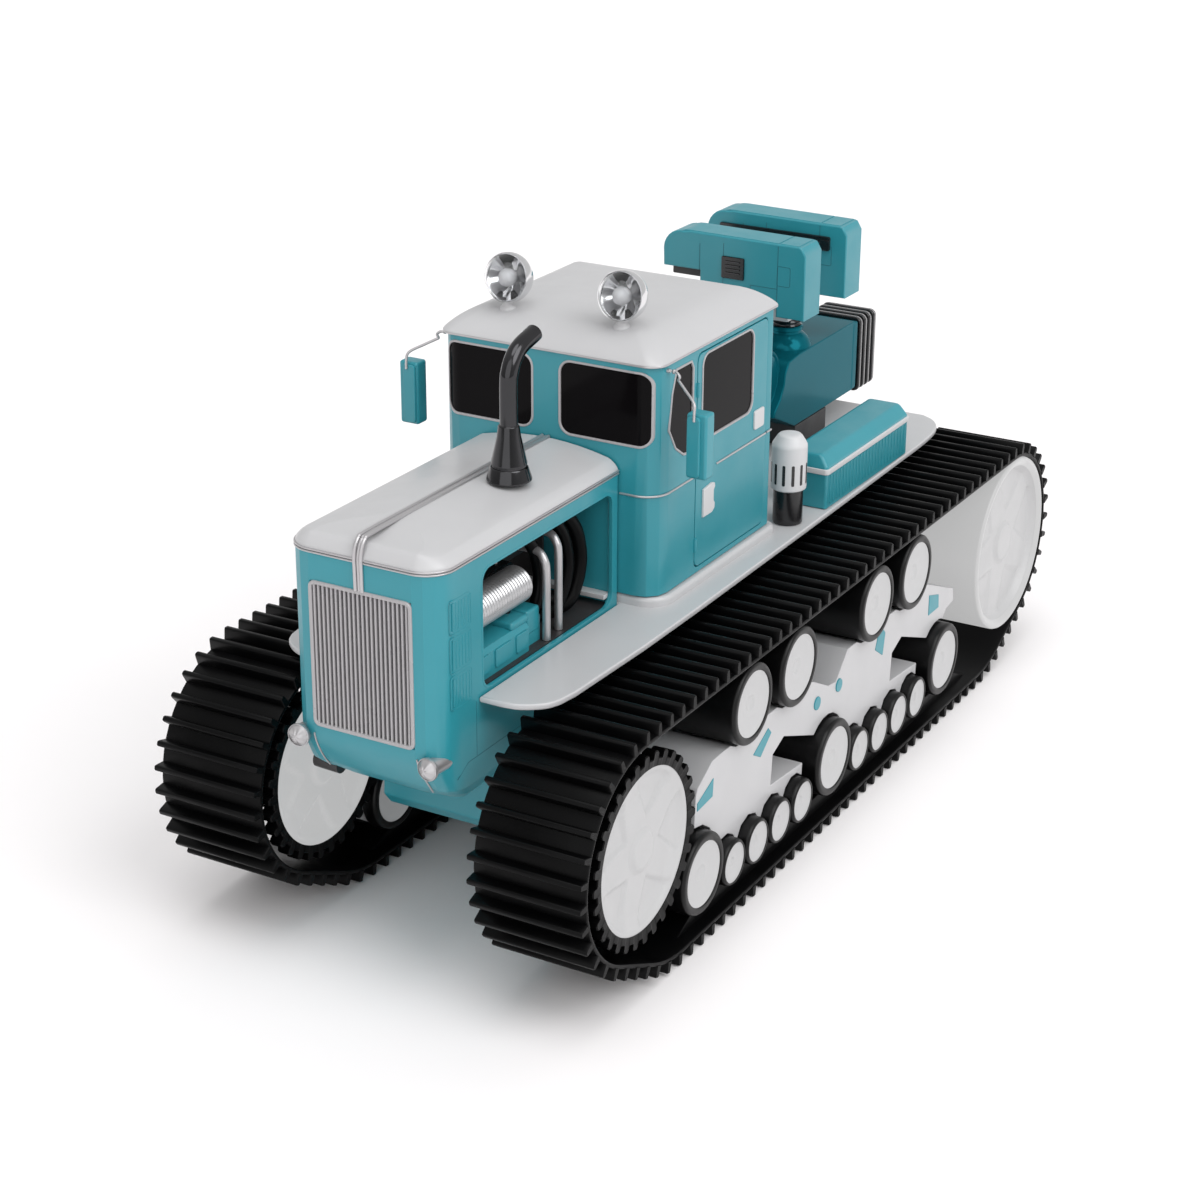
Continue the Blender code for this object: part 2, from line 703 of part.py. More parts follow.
def make_doors():
    """Side doors hinged at their front edge, with a shallow seat for the pane outside."""
    inner = CAB_HALF - 0.0021
    door = place(
        "door_left",
        plate((door_loop(0),), inner, CAB_HALF, ALONG_X),
        TEAL,
        (CAB_HALF + 0.0002, DOOR_FRONT_Y - 0.0002, 0.1540),
    )
    pane = rounded_rectangle((-0.0520, 0.1617), (-0.0115, 0.1940), 0.0045)
    modified(door, "DIFFERENCE", [plate((pane,), CAB_HALF - 0.0007, CAB_HALF + 0.005, ALONG_X)])
    right_hand_twin(door, "door_right")


def make_exhaust():
    """Stepped cone base and a stack that leans back at its top."""
    x, y = 0.0129, -0.1315
    profile = [(0, 0.0210), (0.0033, 0.0190), (0.0067, 0.0043), (0.0085, 0.0041), (0.0085, 0.0003), (0, 0.0003)]
    stack = turned("exhaust_stack", profile, 16, BLACK, (x, y, 0.1655))
    route = [(x, y, 0.1750), (x, y, 0.2005), (x, y + 0.0009, 0.2047), (x, y + 0.0035, 0.2082)]
    route += [(x, y + 0.0090, 0.2112), (x, y + 0.0175, 0.2133)]
    modified(stack, "UNION", [tube(route, 0.0031)])


def make_engine():
    """Block with a rocker cover on the bay floor, and the ribbed air hose beside it."""
    floor = BAY_FLOOR_Z + FIT_GAP
    casing = block((-0.0262, -0.1790, floor), (0.0262, -0.1315, 0.1190), 0, 0.0025, 1)
    engine = place("engine_block", casing, TEAL)
    modified(engine, "UNION", [block((-0.0090, -0.1740, 0.1150), (0.0090, -0.1180, 0.1300), 0, 0.0030, 1)])
    ridges = 9
    pitch = 0.0059
    points = []
    for ridge in range(ridges):
        points += [(0.0078, -pitch * ridge), (0.0070, -pitch * (ridge + 0.5))]
    profile = [(0, 0), *points, (0, points[-1][1])]
    turned("intake_hose", profile, 12, CHROME, (0.0175, -0.1255, 0.1300), (math.radians(-90), 0, 0))


def make_roof_lamps():
    """Ball lamps on short turned feet."""
    ball, radius = 0.0118, 0.0088
    profile = [(abs(u), v) for u, v in arc(0, ball, radius, 90, -72, 7)]
    profile += [(0.0026, 0.0024), (0.0046, 0.0020), (0.0046, 0), (0, 0)]
    for word, side in SIDES:
        turned(f"roof_lamp_{word}", profile, 12, CHROME, (side * 0.0236, -0.0725, ROOF_TOP_Z + FIT_GAP))


def make_mirrors():
    """Tall mirror housings on bent wire arms that swing at the cab's front corner."""
    root = (0.0476, -0.0779, 0.1953)
    route = [(0.0469, -0.0775, 0.1953), (0.0484, -0.0784, 0.1953), (0.0543, -0.0813, 0.1939)]
    route += [(0.0592, -0.0838, 0.1912), (0.0600, -0.0843, 0.1890), (0.0600, -0.0843, 0.1820)]
    housing = block((0.0560, -0.0847, 0.1595), (0.0640, -0.0777, 0.1835), 0.0012, 0, 1)
    mirror = place("mirror_left", housing, TEAL, root)
    modified(mirror, "UNION", [tube(route, 0.0008)])
    right_hand_twin(mirror, "mirror_right")


def make_air_cleaner():
    profile = [(0, 0.0368), (0.0030, 0.0364), (0.0055, 0.0346), (0.0070, 0.0315), (0.0070, 0.0122)]
    profile += [(0.0059, 0.0119), (0.0059, 0.0003), (0, 0.0003)]
    turned("air_cleaner", profile, 16, WHITE, (0.0462, 0.0200, DECK_TOP_Z))


def make_side_box():
    bottom = DECK_TOP_Z + FIT_GAP
    section = [(0.0350, bottom), (0.0535, bottom), (0.0548, 0.1090), (0.0548, 0.1242), (0.0515, 0.1295)]
    section += [(0.0372, 0.1295), (0.0340, 0.1242), (0.0340, 0.1090)]
    place("side_box", plate((section,), 0.0390, 0.1185, ALONG_Y), TEAL)


def make_turret():
    """Pedestal, slewing body with its cooling drum and neck, and the turning head with two hooked pods."""
    bottom = DECK_TOP_Z + FIT_GAP
    place("turret_pedestal", block((-0.011, 0.1000, bottom), (0.011, 0.1310, 0.1171)), BLACK)
    axis = (0, TURRET_Y, 0.1175)
    side = [(0.1010, 0.1490), (0.0910, 0.1480), (0.0875, 0.1433), (0.0868, 0.1390), (0.0835, 0.1336)]
    side += [(0.0790, 0.1296), (0.0780, 0.1270), (0.0980, 0.1175), (0.1700, 0.1175), (0.1765, 0.1240)]
    side += [(0.1765, 0.1490)]
    body = place("turret_body", plate((side,), -0.012, 0.012, ALONG_X), TEAL_METALLIC, axis)
    drum = plate((round_loop(0.0755, 0.1430, 0.0130, 16),), -0.0085, 0.0085, ALONG_X)
    collar = plate((round_loop(0, TURRET_Y, 0.0105, 16),), 0.1450, 0.1545)
    neck = plate((round_loop(0, TURRET_Y, 0.0062, 12),), 0.1500, 0.1612)
    modified(body, "UNION", [drum, collar, neck])

    pod = [(0.0203, 0.1680), (0.0203, 0.1985), (-0.0330, 0.1992), (-0.0413, 0.1970), (-0.0450, 0.1935)]
    pod += [(-0.0450, 0.1830), (-0.0279, 0.1830), (-0.0279, 0.1720), (0.0075, 0.1720), (0.0075, 0.1680)]
    thickness = 0.0155
    front = plate((pod,), POD_FRONT_Y - thickness / 2, POD_FRONT_Y + thickness / 2, ALONG_Y)
    head = place("turret_head", front, TEAL, (0, TURRET_Y, 0.1615))
    rear = plate((pod,), POD_REAR_Y - thickness / 2, POD_REAR_Y + thickness / 2, ALONG_Y)
    yoke = block((-0.0090, POD_FRONT_Y + 0.004, 0.1615), (0.0065, POD_REAR_Y - 0.004, 0.1800))
    modified(head, "UNION", [rear, yoke])


def smooth_round_parts():
    for obj in PARTS.objects:
        shade_round(obj.data)
        for modifier in obj.modifiers:
            if modifier.type == "SCREW":
                modifier.use_smooth_shade = True


make_belts()
make_sprockets()
make_idlers()
make_rollers()
make_frames()
make_hull()
make_deck()
make_engine_housing()
make_hood_top()
make_grille()
make_cab()
make_doors()
make_exhaust()
make_engine()
make_roof_lamps()
make_mirrors()
make_air_cleaner()
make_side_box()
make_turret()
smooth_round_parts()
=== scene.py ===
"""Looks for the crawler tractor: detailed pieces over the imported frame, finishes, studio light and camera.

Metres, in the frame of the CAD. The nose points to -Y and the tractor's left is +X.
"""

import math

import bmesh
import bpy
from mathutils import Matrix, Vector


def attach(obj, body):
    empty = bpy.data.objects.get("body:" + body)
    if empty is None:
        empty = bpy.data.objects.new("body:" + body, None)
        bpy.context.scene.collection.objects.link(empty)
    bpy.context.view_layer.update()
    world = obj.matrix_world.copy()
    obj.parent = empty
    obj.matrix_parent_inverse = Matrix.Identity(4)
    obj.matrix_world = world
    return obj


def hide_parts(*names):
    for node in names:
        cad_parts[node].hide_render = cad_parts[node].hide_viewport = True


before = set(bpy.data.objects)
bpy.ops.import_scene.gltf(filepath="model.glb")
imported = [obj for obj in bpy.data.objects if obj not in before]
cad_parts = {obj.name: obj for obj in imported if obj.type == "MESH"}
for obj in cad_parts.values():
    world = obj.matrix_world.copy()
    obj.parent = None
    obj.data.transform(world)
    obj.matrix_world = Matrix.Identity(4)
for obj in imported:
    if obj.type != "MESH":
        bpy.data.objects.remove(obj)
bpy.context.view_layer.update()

# Driving dimensions, as in the CAD
AXLE_Z = 0.0571
FRONT_AXLE_Y = -0.165
REAR_AXLE_Y = 0.165
TRACK_X = 0.06505
BELT_INNER_RADIUS = 0.0388
BELT_THICKNESS = 0.0017
BELT_RUN_Z = 0.0058
BELT_CORNER_Y = 0.1362
BELT_CORNER_RADIUS = 0.050
BELT_HALF = 0.02175
CLEAT_PITCH = 0.0082
RAIL_TOP_Z = 0.0122
WHEEL_HALF = 0.02145
SPROCKET_TEETH = 32
ROAD_Z = 0.0281
ROAD_Y = [-0.1217 + 0.1085 * i for i in range(3)]
SMALL_Z = 0.0215
SMALL_Y = [-0.0977 + 0.1085 * group + 0.0189 * i for group in range(2) for i in range(4)]
UPPER_Z = 0.0799
UPPER_Y = [-0.0859 + 0.1078 * group + 0.0378 * i for group in range(2) for i in range(2)]
HOUSING_HALF = 0.0303
HOUSING_FRONT_Y = -0.2035
HOUSING_REAR_Y = -0.0863
HOUSING_CORNER = 0.0100
CHIN_TOP_Z = 0.0945
CHIN_BACK_Y = -0.1790
CAB_HALF = 0.0455
CAB_FRONT_Y = -0.0855
CAB_REAR_Y = 0.0080
CAB_CORNER = 0.0090
REAR_CORNER = 0.0016
DECK_TOP_Z = 0.1072
TURRET_Y = 0.1110
POD_FRONT_Y = 0.0925
POD_REAR_Y = 0.1320
POD_HALF = 0.00775
WAIST_Z = 0.1495
SIDES = (("left", 1), ("right", -1))

# Where a flat outline's own axes and its thickness go: columns are outline u, outline v and thickness.
ALONG_X = Matrix(((0, 0, 1, 0), (1, 0, 0, 0), (0, 1, 0, 0), (0, 0, 0, 1)))
ALONG_Y = Matrix(((1, 0, 0, 0), (0, 0, -1, 0), (0, 1, 0, 0), (0, 0, 0, 1)))
ALONG_Z = Matrix.Identity(4)

# A half turn that swaps the ends of an axle, and the turn that lays Z along X
OVER = Matrix.Rotation(math.pi, 4, "X")
Z_TO_X = Matrix.Rotation(math.pi / 2, 4, "Y")

# Scales of the slow changes of colour and of gloss in a finish
CLOUD_SCALE = 38
PATCH_SCALE = 85


# Materials


def mixed(nodes, links, factor, low, high):
    """A colour that runs from low to high with a factor socket."""
    mix = nodes.new("ShaderNodeMix")
    mix.data_type = "RGBA"
    mix.inputs["A"].default_value = (*low, 1)
    mix.inputs["B"].default_value = (*high, 1)
    links.new(factor, mix.inputs["Factor"])
    return mix.outputs["Result"]


def ranged(nodes, links, value, low, high):
    """A value from about 0.35 to 0.65 spread over low to high."""
    spread = nodes.new("ShaderNodeMapRange")
    spread.inputs["From Min"].default_value = 0.35
    spread.inputs["From Max"].default_value = 0.65
    spread.inputs["To Min"].default_value = low
    spread.inputs["To Max"].default_value = high
    links.new(value, spread.inputs["Value"])
    return spread.outputs["Result"]


def noise(nodes, links, place, scale, detail):
    """A cloudy value at a place."""
    texture = nodes.new("ShaderNodeTexNoise")
    texture.inputs["Scale"].default_value = scale
    texture.inputs["Detail"].default_value = detail
    links.new(place, texture.inputs["Vector"])
    return texture.outputs["Fac"]


def finish(
    name, colour, roughness, metallic=0.0, coat=0.0, spread=0.05, grain=900.0, relief=0.00002, specular=0.5
):
    """A mottled colour, an uneven gloss and a fine relief, on a principled shader."""
    material = bpy.data.materials.new(name)
    material.use_nodes = True
    nodes, links = material.node_tree.nodes, material.node_tree.links
    shader = nodes["Principled BSDF"]
    shader.inputs["Metallic"].default_value = metallic
    shader.inputs["Coat Weight"].default_value = coat
    shader.inputs["Coat Roughness"].default_value = 0.12
    shader.inputs["Specular IOR Level"].default_value = specular
    place = nodes.new("ShaderNodeTexCoord").outputs["Object"]
    cloud = noise(nodes, links, place, CLOUD_SCALE, 4)
    low = [c * (1 - spread) for c in colour]
    high = [min(c * (1 + spread), 1) for c in colour]
    links.new(mixed(nodes, links, cloud, low, high), shader.inputs["Base Color"])
    patch = noise(nodes, links, place, PATCH_SCALE, 3)
    links.new(ranged(nodes, links, patch, roughness * 0.85, roughness * 1.18), shader.inputs["Roughness"])
    bump = nodes.new("ShaderNodeBump")
    bump.inputs["Strength"].default_value = 0.35
    bump.inputs["Distance"].default_value = relief
    links.new(noise(nodes, links, place, grain, 3), bump.inputs["Height"])
    links.new(bump.outputs["Normal"], shader.inputs["Normal"])
    return material


def painted_glow(material, strength):
    """Adds painted light: a faint glow of its own, on a finish that would fall too dark between the belts."""
    shader = material.node_tree.nodes["Principled BSDF"]
    shader.inputs["Emission Color"].default_value = (1, 1, 1, 1)
    shader.inputs["Emission Strength"].default_value = strength
    return material


def clear(material, index):
    """Lets light through a finish, at an index of refraction."""
    shader = material.node_tree.nodes["Principled BSDF"]
    shader.inputs["Transmission Weight"].default_value = 1.0
    shader.inputs["IOR"].default_value = index


ROUGH_RUBBER = {"grain": 1700.0, "relief": 0.00003}
FINE_RUBBER = {"grain": 1700.0, "relief": 0.00001}
FINE_METAL = {"grain": 2200.0, "relief": 0.00001}

TEAL = finish("teal_enamel", (0.026, 0.262, 0.318), 0.34, coat=0.15)
TEAL_DARK = finish("teal_groove", (0.014, 0.120, 0.150), 0.5)
TEAL_METALLIC = finish(
    "teal_metallic", (0.004, 0.122, 0.158), 0.17, metallic=0.3, grain=2600.0, relief=0.000002, specular=0.03
)
WHITE = finish("white_enamel", (0.52, 0.52, 0.53), 0.36, coat=0.1, spread=0.025)
BRIGHT = finish("white_cap", (0.60, 0.60, 0.61), 0.4, spread=0.03)
TRIM = finish("light_trim", (0.40, 0.39, 0.40), 0.3, metallic=0.15, spread=0.03)
# Painted light: the disc finishes glow faintly so they stay pale in the shade between the belts; the backs
# pair a dark grey colour with a stronger glow.
DISC = painted_glow(finish("white_disc_painted_glow", (0.39, 0.39, 0.395), 0.4, spread=0.03), 0.13)
DISC_BACK = painted_glow(finish("white_disc_back_painted_glow", (0.14, 0.14, 0.142), 0.4, spread=0.03), 0.42)
RUBBER = finish("black_rubber", (0.0016, 0.0016, 0.0018), 0.36, spread=0.25, specular=0.11, **ROUGH_RUBBER)
TYRE = finish("tyre_rubber", (0.0028, 0.0028, 0.0030), 0.33, spread=0.2, specular=0.28, **FINE_RUBBER)
BLACK = finish("black_enamel", (0.006, 0.006, 0.007), 0.24, coat=0.2, spread=0.15)
CHARCOAL = finish("charcoal_enamel", (0.030, 0.028, 0.029), 0.45, spread=0.12)
GUNMETAL = finish("gunmetal", (0.055, 0.055, 0.058), 0.12, metallic=0.95, spread=0.1, **FINE_METAL)
GLASS = finish(
    "black_glass", (0.004, 0.0035, 0.004), 0.09, spread=0.2, grain=60.0, relief=0.00001, specular=0.06
)
CHROME = finish("chrome", (0.78, 0.78, 0.79), 0.13, metallic=1.0, spread=0.03, grain=2200.0, relief=0.000006)
SATIN = finish("satin_silver", (0.52, 0.51, 0.52), 0.33, metallic=0.75, grain=2400.0, relief=0.00001)
FOIL = finish("foil_hose", (0.56, 0.56, 0.57), 0.32, metallic=0.75, spread=0.12, grain=1500.0, relief=0.00006)
LAMP_GLASS = finish("lamp_glass", (0.95, 0.96, 0.97), 0.03, spread=0.01, grain=120.0, relief=0.00001)
clear(LAMP_GLASS, 1.3)
FINISHES = {
    "teal_enamel": (TEAL, TEAL_DARK),
    "teal_metallic": (TEAL_METALLIC,),
    "white_enamel": (WHITE, BRIGHT, TRIM, DISC, DISC_BACK),
    "black_rubber": (RUBBER, TYRE),
    "black_enamel": (BLACK, CHARCOAL, GUNMETAL),
    "black_glass": (GLASS,),
    "chrome": (CHROME, SATIN, FOIL, LAMP_GLASS),
}
SLOTS = {material: slot for slot, materials in FINISHES.items() for material in materials}


# Mesh helpers


def arc(u, v, radius, start, end, steps):
    """Points on an arc, angles in degrees."""
    angles = (math.radians(start + (end - start) * i / steps) for i in range(steps + 1))
    return [(u + radius * math.cos(a), v + radius * math.sin(a)) for a in angles]


def rounded_rectangle(low, high, radius, steps=6):
    """An anticlockwise rectangle with round corners."""
    corners = (
        (high[0] - radius, high[1] - radius, 0),
        (low[0] + radius, high[1] - radius, 90),
        (low[0] + radius, low[1] + radius, 180),
        (high[0] - radius, low[1] + radius, 270),
    )
    return [point for u, v, turn in corners for point in arc(u, v, radius, turn, turn + 90, steps)]


def circle(u, v, radius, steps=32):
    """A round loop that starts on the u axis."""
    return arc(u, v, radius, 0, 360 - 360 / steps, steps - 1)


def symmetric(half):
    """A half outline followed by its mirror image, u turned over."""
    return half + [(-u, v) for u, v in reversed(half)]


def panel(low, high, radius, steps, start, end, direction, edge=0.0003):
    """A plate with round corners, from start to end along a direction."""
    return slab(rounded_rectangle(low, high, radius, steps), start, end, direction, edge)


def shift(x, y, z):
    """A matrix that moves by x, y and z."""
    return Matrix.Translation((x, y, z))


def grown(loop, amount):
    """An anticlockwise loop moved outward, inward where the amount is negative."""
    result = []
    for before, here, after in zip(loop[-1:] + loop[:-1], loop, loop[1:] + loop[:1]):
        normals = []
        for (u0, v0), (u1, v1) in ((before, here), (here, after)):
            length = math.hypot(u1 - u0, v1 - v0) or 1
            normals.append(((v1 - v0) / length, (u0 - u1) / length))
        u, v = normals[0][0] + normals[1][0], normals[0][1] + normals[1][1]
        square = max(u * u + v * v, 0.5)
        result.append((here[0] + 2 * amount * u / square, here[1] + 2 * amount * v / square))
    return result


def mesh_from(bm, matrix=None):
    """A mesh of a bmesh that isn't needed any more, with its normals outward."""
    bmesh.ops.recalc_face_normals(bm, faces=bm.faces)
    mesh = bpy.data.meshes.new("mesh")
    bm.to_mesh(mesh)
    bm.free()
    if matrix:
        mesh.transform(matrix)
    return mesh


def slab(loop, start, end, direction=ALONG_Z, edge=0.0003, segments=2):
    """A solid of a flat outline from start to end along a direction, with its rims rounded."""
    if direction is ALONG_Y:
        start, end = -end, -start
    bm = bmesh.new()
    low = [bm.verts.new((u, v, start)) for u, v in loop]
    high = [bm.verts.new((u, v, end)) for u, v in loop]
    faces = [bm.faces.new(low[::-1]), bm.faces.new(high)]
    for i in range(len(loop)):
        j = (i + 1) % len(loop)
        bm.faces.new((low[i], low[j], high[j], high[i]))
    bmesh.ops.recalc_face_normals(bm, faces=bm.faces)
    if edge:
        rim = list({e for face in faces for e in face.edges})
        bmesh.ops.bevel(bm, geom=rim, offset=edge, segments=segments, affect="EDGES", profile=0.5)
    return mesh_from(bm, direction)


def block(low, high, edge=0.0004, segments=2):
    """A box with all its edges rounded."""
    bm = bmesh.new()
    bmesh.ops.create_cube(bm, size=1)
    bmesh.ops.scale(bm, vec=[h - b for h, b in zip(high, low)], verts=bm.verts)
    bmesh.ops.translate(bm, vec=[(h + b) / 2 for h, b in zip(high, low)], verts=bm.verts)
    bmesh.ops.bevel(bm, geom=bm.edges[:], offset=edge, segments=segments, affect="EDGES", profile=0.5)
    return mesh_from(bm)


def lofted(loops, closed=False):
    """A mesh through loops of the same number of points in space; closed joins the last loop to the first."""
    bm = bmesh.new()
    rows = [[bm.verts.new(point) for point in loop] for loop in loops]
    pairs = list(zip(rows, rows[1:])) + ([(rows[-1], rows[0])] if closed else [])
    for one, two in pairs:
        for i in range(len(one)):
            j = (i + 1) % len(one)
            bm.faces.new((one[i], one[j], two[j], two[i]))
    if not closed:
        bm.faces.new(rows[0][::-1])
        bm.faces.new(rows[-1])
    return mesh_from(bm)


def turned(profile, steps=32, matrix=None):
    """A mesh turned about Z from a profile of radius and height."""
    bm = bmesh.new()
    rows = []
    for radius, height in profile:
        if radius < 1e-6:
            rows.append([bm.verts.new((0, 0, height))])
        else:
            rows.append([bm.verts.new((*point, height)) for point in circle(0, 0, radius, steps)])
    for one, two in zip(rows, rows[1:]):
        for i in range(steps):
            j = (i + 1) % steps
            corners = [one[i % len(one)], one[j % len(one)], two[j % len(two)], two[i % len(two)]]
            corners = list(dict.fromkeys(corners))
            if len(corners) > 2:
                bm.faces.new(corners)
    return mesh_from(bm, matrix)


def strip(path, across, up, radius=0.0002, direction=ALONG_Z, level=0.0, closed=True, steps=2):
    """A bar of rounded-rectangle section along a flat path.

    across is its range outward, to the right of the path's heading; up is its range along the direction.
    """
    section = rounded_rectangle((across[0], up[0]), (across[1], up[1]), radius, steps)
    loops = []
    count = len(path)
    for i, (u, v) in enumerate(path):
        before = path[i - 1] if closed or i else path[i]
        after = path[(i + 1) % count] if closed or i < count - 1 else path[i]
        heads = []
        for (u0, v0), (u1, v1) in ((before, (u, v)), ((u, v), after)):
            length = math.hypot(u1 - u0, v1 - v0)
            if length > 1e-7:
                heads.append(((u1 - u0) / length, (v1 - v0) / length))
        hu = sum(h[0] for h in heads) / len(heads)
        hv = sum(h[1] for h in heads) / len(heads)
        square = max(hu * hu + hv * hv, 0.3)
        side = (hv / square, -hu / square)
        loops.append([(u + side[0] * a, v + side[1] * a, level + b) for a, b in section])
    mesh = lofted(loops, closed=closed)
    mesh.transform(direction)
    return mesh


def smoothed(points, steps=6):
    """A Catmull-Rom curve through points."""
    points = [Vector(p) for p in points]
    ends = [2 * points[0] - points[1], *points, 2 * points[-1] - points[-2]]
    result = []
    for a, b, c, d in zip(ends, ends[1:], ends[2:], ends[3:]):
        for i in range(steps):
            t = i / steps
            square, cube = 2 * a - 5 * b + 4 * c - d, 3 * b - a - 3 * c + d
            result.append(0.5 * (2 * b + (c - a) * t + square * t * t + cube * t**3))
    return result + [points[-1]]


def smoothed_pairs(points, steps):
    """A Catmull-Rom curve through flat points."""
    return [(p.x, p.y) for p in smoothed([(u, v, 0) for u, v in points], steps)]


def tube(points, radius, steps=12, smooth=6, hollow=0.0):
    """A round bar along a smooth curve; hollow sinks its last end by that depth."""
    path = smoothed(points, smooth) if smooth else [Vector(p) for p in points]
    heading = (path[1] - path[0]).normalized()
    side = heading.orthogonal().normalized()
    loops = []
    for i, point in enumerate(path):
        after = path[min(i + 1, len(path) - 1)] - path[max(i - 1, 0)]
        turn = heading.rotation_difference(after.normalized())
        heading = after.normalized()
        side = (turn @ side).normalized()
        other = heading.cross(side)
        loops.append([point + (side * math.cos(a) + other * math.sin(a)) * radius for a in full_turn(steps)])
    if hollow:
        last = path[-1]
        loops.append([last + (p - last) * 0.78 for p in loops[-1]])
        loops.append([p - heading * hollow for p in loops[-1]])
    return lofted(loops)


def full_turn(steps):
    """Even angles round a circle, in radians."""
    return [2 * math.pi * i / steps for i in range(steps)]


def joined(*meshes):
    """One mesh of several."""
    bm = bmesh.new()
    for mesh in meshes:
        bm.from_mesh(mesh)
    result = bpy.data.meshes.new("mesh")
    bm.to_mesh(result)
    bm.free()
    return result


def moved(mesh, matrix):
    """A copy of a mesh in another place."""
    copy = mesh.copy()
    copy.transform(matrix)
    return copy


def mirrored(mesh, side=-1):
    """The mesh for a side: itself on the left, its mirror image on the right."""
    copy = mesh.copy()
    if side < 0:
        copy.transform(Matrix.Scale(-1, 4, (1, 0, 0)))
        copy.flip_normals()
    return copy


def softened(node, width, segments=2):
    """A copy of a CAD node's mesh with its flat facets merged and its hard edges rounded."""
    hard_angle = math.radians(28)
    bm = bmesh.new()
    bm.from_mesh(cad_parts[node].data)
    bmesh.ops.remove_doubles(bm, verts=bm.verts, dist=0.00001)
    bmesh.ops.dissolve_limit(bm, angle_limit=math.radians(0.5), verts=bm.verts, edges=bm.edges)
    hard = [e for e in bm.edges if len(e.link_faces) == 2 and e.calc_face_angle(0) > hard_angle]
    bmesh.ops.bevel(
        bm, geom=hard, offset=width, segments=segments, affect="EDGES", profile=0.5, clamp_overlap=False
    )
    return mesh_from(bm)


def smooth_step(value):
    """A soft ramp from 0 at 0 to 1 at 1."""
    value = min(max(value, 0.0), 1.0)
    return value * value * (3 - 2 * value)


def dished(radius, height, rings=14, steps=60):
    """A round face round Z, with its height given at a radius and an angle."""
    bm = bmesh.new()
    rows = [[bm.verts.new((0, 0, height(0, 0)))]]
    for ring in range(1, rings + 1):
        r = radius * ring / rings
        points = [(r * math.cos(a), r * math.sin(a), height(r, a)) for a in full_turn(steps)]
        rows.append([bm.verts.new(point) for point in points])
    for one, two in zip(rows, rows[1:]):
        for i in range(steps):
            j = (i + 1) % steps
            corners = list(dict.fromkeys([one[i % len(one)], two[i], two[j], one[j % len(one)]]))
            bm.faces.new(corners)
    mesh = bpy.data.meshes.new("mesh")
    bm.to_mesh(mesh)
    bm.free()
    return mesh


def spoked(r, angle, hub, rim, half_width, depth, count=5):
    """The height of a spoked face: flat spokes that widen to the hub, and pockets with sloping floors."""
    step = 2 * math.pi / count
    offset = abs((angle + step / 2) % step - step / 2)
    lateral = offset * r
    reach = (r - hub) / (rim - hub)
    width = half_width * (1.5 - 0.5 * reach)
    pocket = smooth_step((r - hub) / 0.0016) * smooth_step((rim - r) / 0.0012)
    return -depth * pocket * smooth_step((lateral - width) / 0.0010) * (0.55 + 0.45 * reach)


def piece(name, mesh, material, body="root", replaces=(), sharp=42, weigh=True, matrix=None):
    """Puts a piece in the scene: smooth shading, finish, body and what it stands for."""
    mesh.name = name
    for attribute in ("custom_normal", "sharp_edge", "sharp_face"):
        if attribute in mesh.attributes:
            mesh.attributes.remove(mesh.attributes[attribute])
    mesh.materials.clear()
    mesh.materials.append(material)
    mesh.shade_smooth()
    mesh.set_sharp_from_angle(angle=math.radians(sharp))
    obj = bpy.data.objects.new(name, mesh)
    bpy.context.scene.collection.objects.link(obj)
    if matrix:
        obj.matrix_world = matrix
    if weigh:
        normals = obj.modifiers.new("normals", "WEIGHTED_NORMAL")
        normals.keep_sharp = True
    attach(obj, body)
    if replaces:
        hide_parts(*replaces)
    return obj


def both(name, mesh, material, body="root", replaces="", **options):
    """A piece on the left and its mirror image on the right; {} in body and replaces is the side's word."""
    for word, side in SIDES:
        nodes = (replaces.format(word),) if replaces else ()
        piece(f"{name}_{word}", mirrored(mesh, side), material, body.format(word), nodes, **options)


# Running gear


def belt_arcs(offset):
    """Centres and radii of the four arcs of the loop, offset outward from its inner face, nose first."""
    corner_z = BELT_RUN_Z + BELT_CORNER_RADIUS
    return (
        ((FRONT_AXLE_Y, AXLE_Z), BELT_INNER_RADIUS + offset),
        ((-BELT_CORNER_Y, corner_z), BELT_CORNER_RADIUS + offset),
        ((BELT_CORNER_Y, corner_z), BELT_CORNER_RADIUS + offset),
        ((REAR_AXLE_Y, AXLE_Z), BELT_INNER_RADIUS + offset),
    )


def tangent_angle(first, second):
    """The direction from both centres to the outer line that touches two arcs."""
    (y0, z0), r0 = first
    (y1, z1), r1 = second
    distance = math.hypot(y1 - y0, z1 - z0)
    return math.atan2(z1 - z0, y1 - y0) - math.acos((r0 - r1) / distance)


def belt_stretches(offset):
    """(length, point function) of each arc and straight; the function gives a point and its outward angle."""
    arcs = belt_arcs(offset)
    angles = [tangent_angle(arcs[i], arcs[(i + 1) % 4]) for i in range(4)]
    stretches = []
    for i, ((y, z), radius) in enumerate(arcs):
        start = angles[i - 1]
        sweep = (angles[i] - start) % (2 * math.pi)

        def on_arc(along, y=y, z=z, radius=radius, start=start):
            angle = start + along / radius
            return y + radius * math.cos(angle), z + radius * math.sin(angle), angle

        (y1, z1), radius1 = arcs[(i + 1) % 4]
        begin = Vector((y + radius * math.cos(angles[i]), z + radius * math.sin(angles[i])))
        end = Vector((y1 + radius1 * math.cos(angles[i]), z1 + radius1 * math.sin(angles[i])))

        def on_line(along, begin=begin, end=end, angle=angles[i]):
            point = begin + (end - begin).normalized() * along
            return point.x, point.y, angle

        stretches.append((radius * sweep, on_arc))
        stretches.append(((end - begin).length, on_line))
    return stretches


def point_along(stretches, along):
    """The point and outward angle at a distance along the loop."""
    for length, place in stretches:
        if along < length:
            return place(along)
        along -= length
    return place(length)


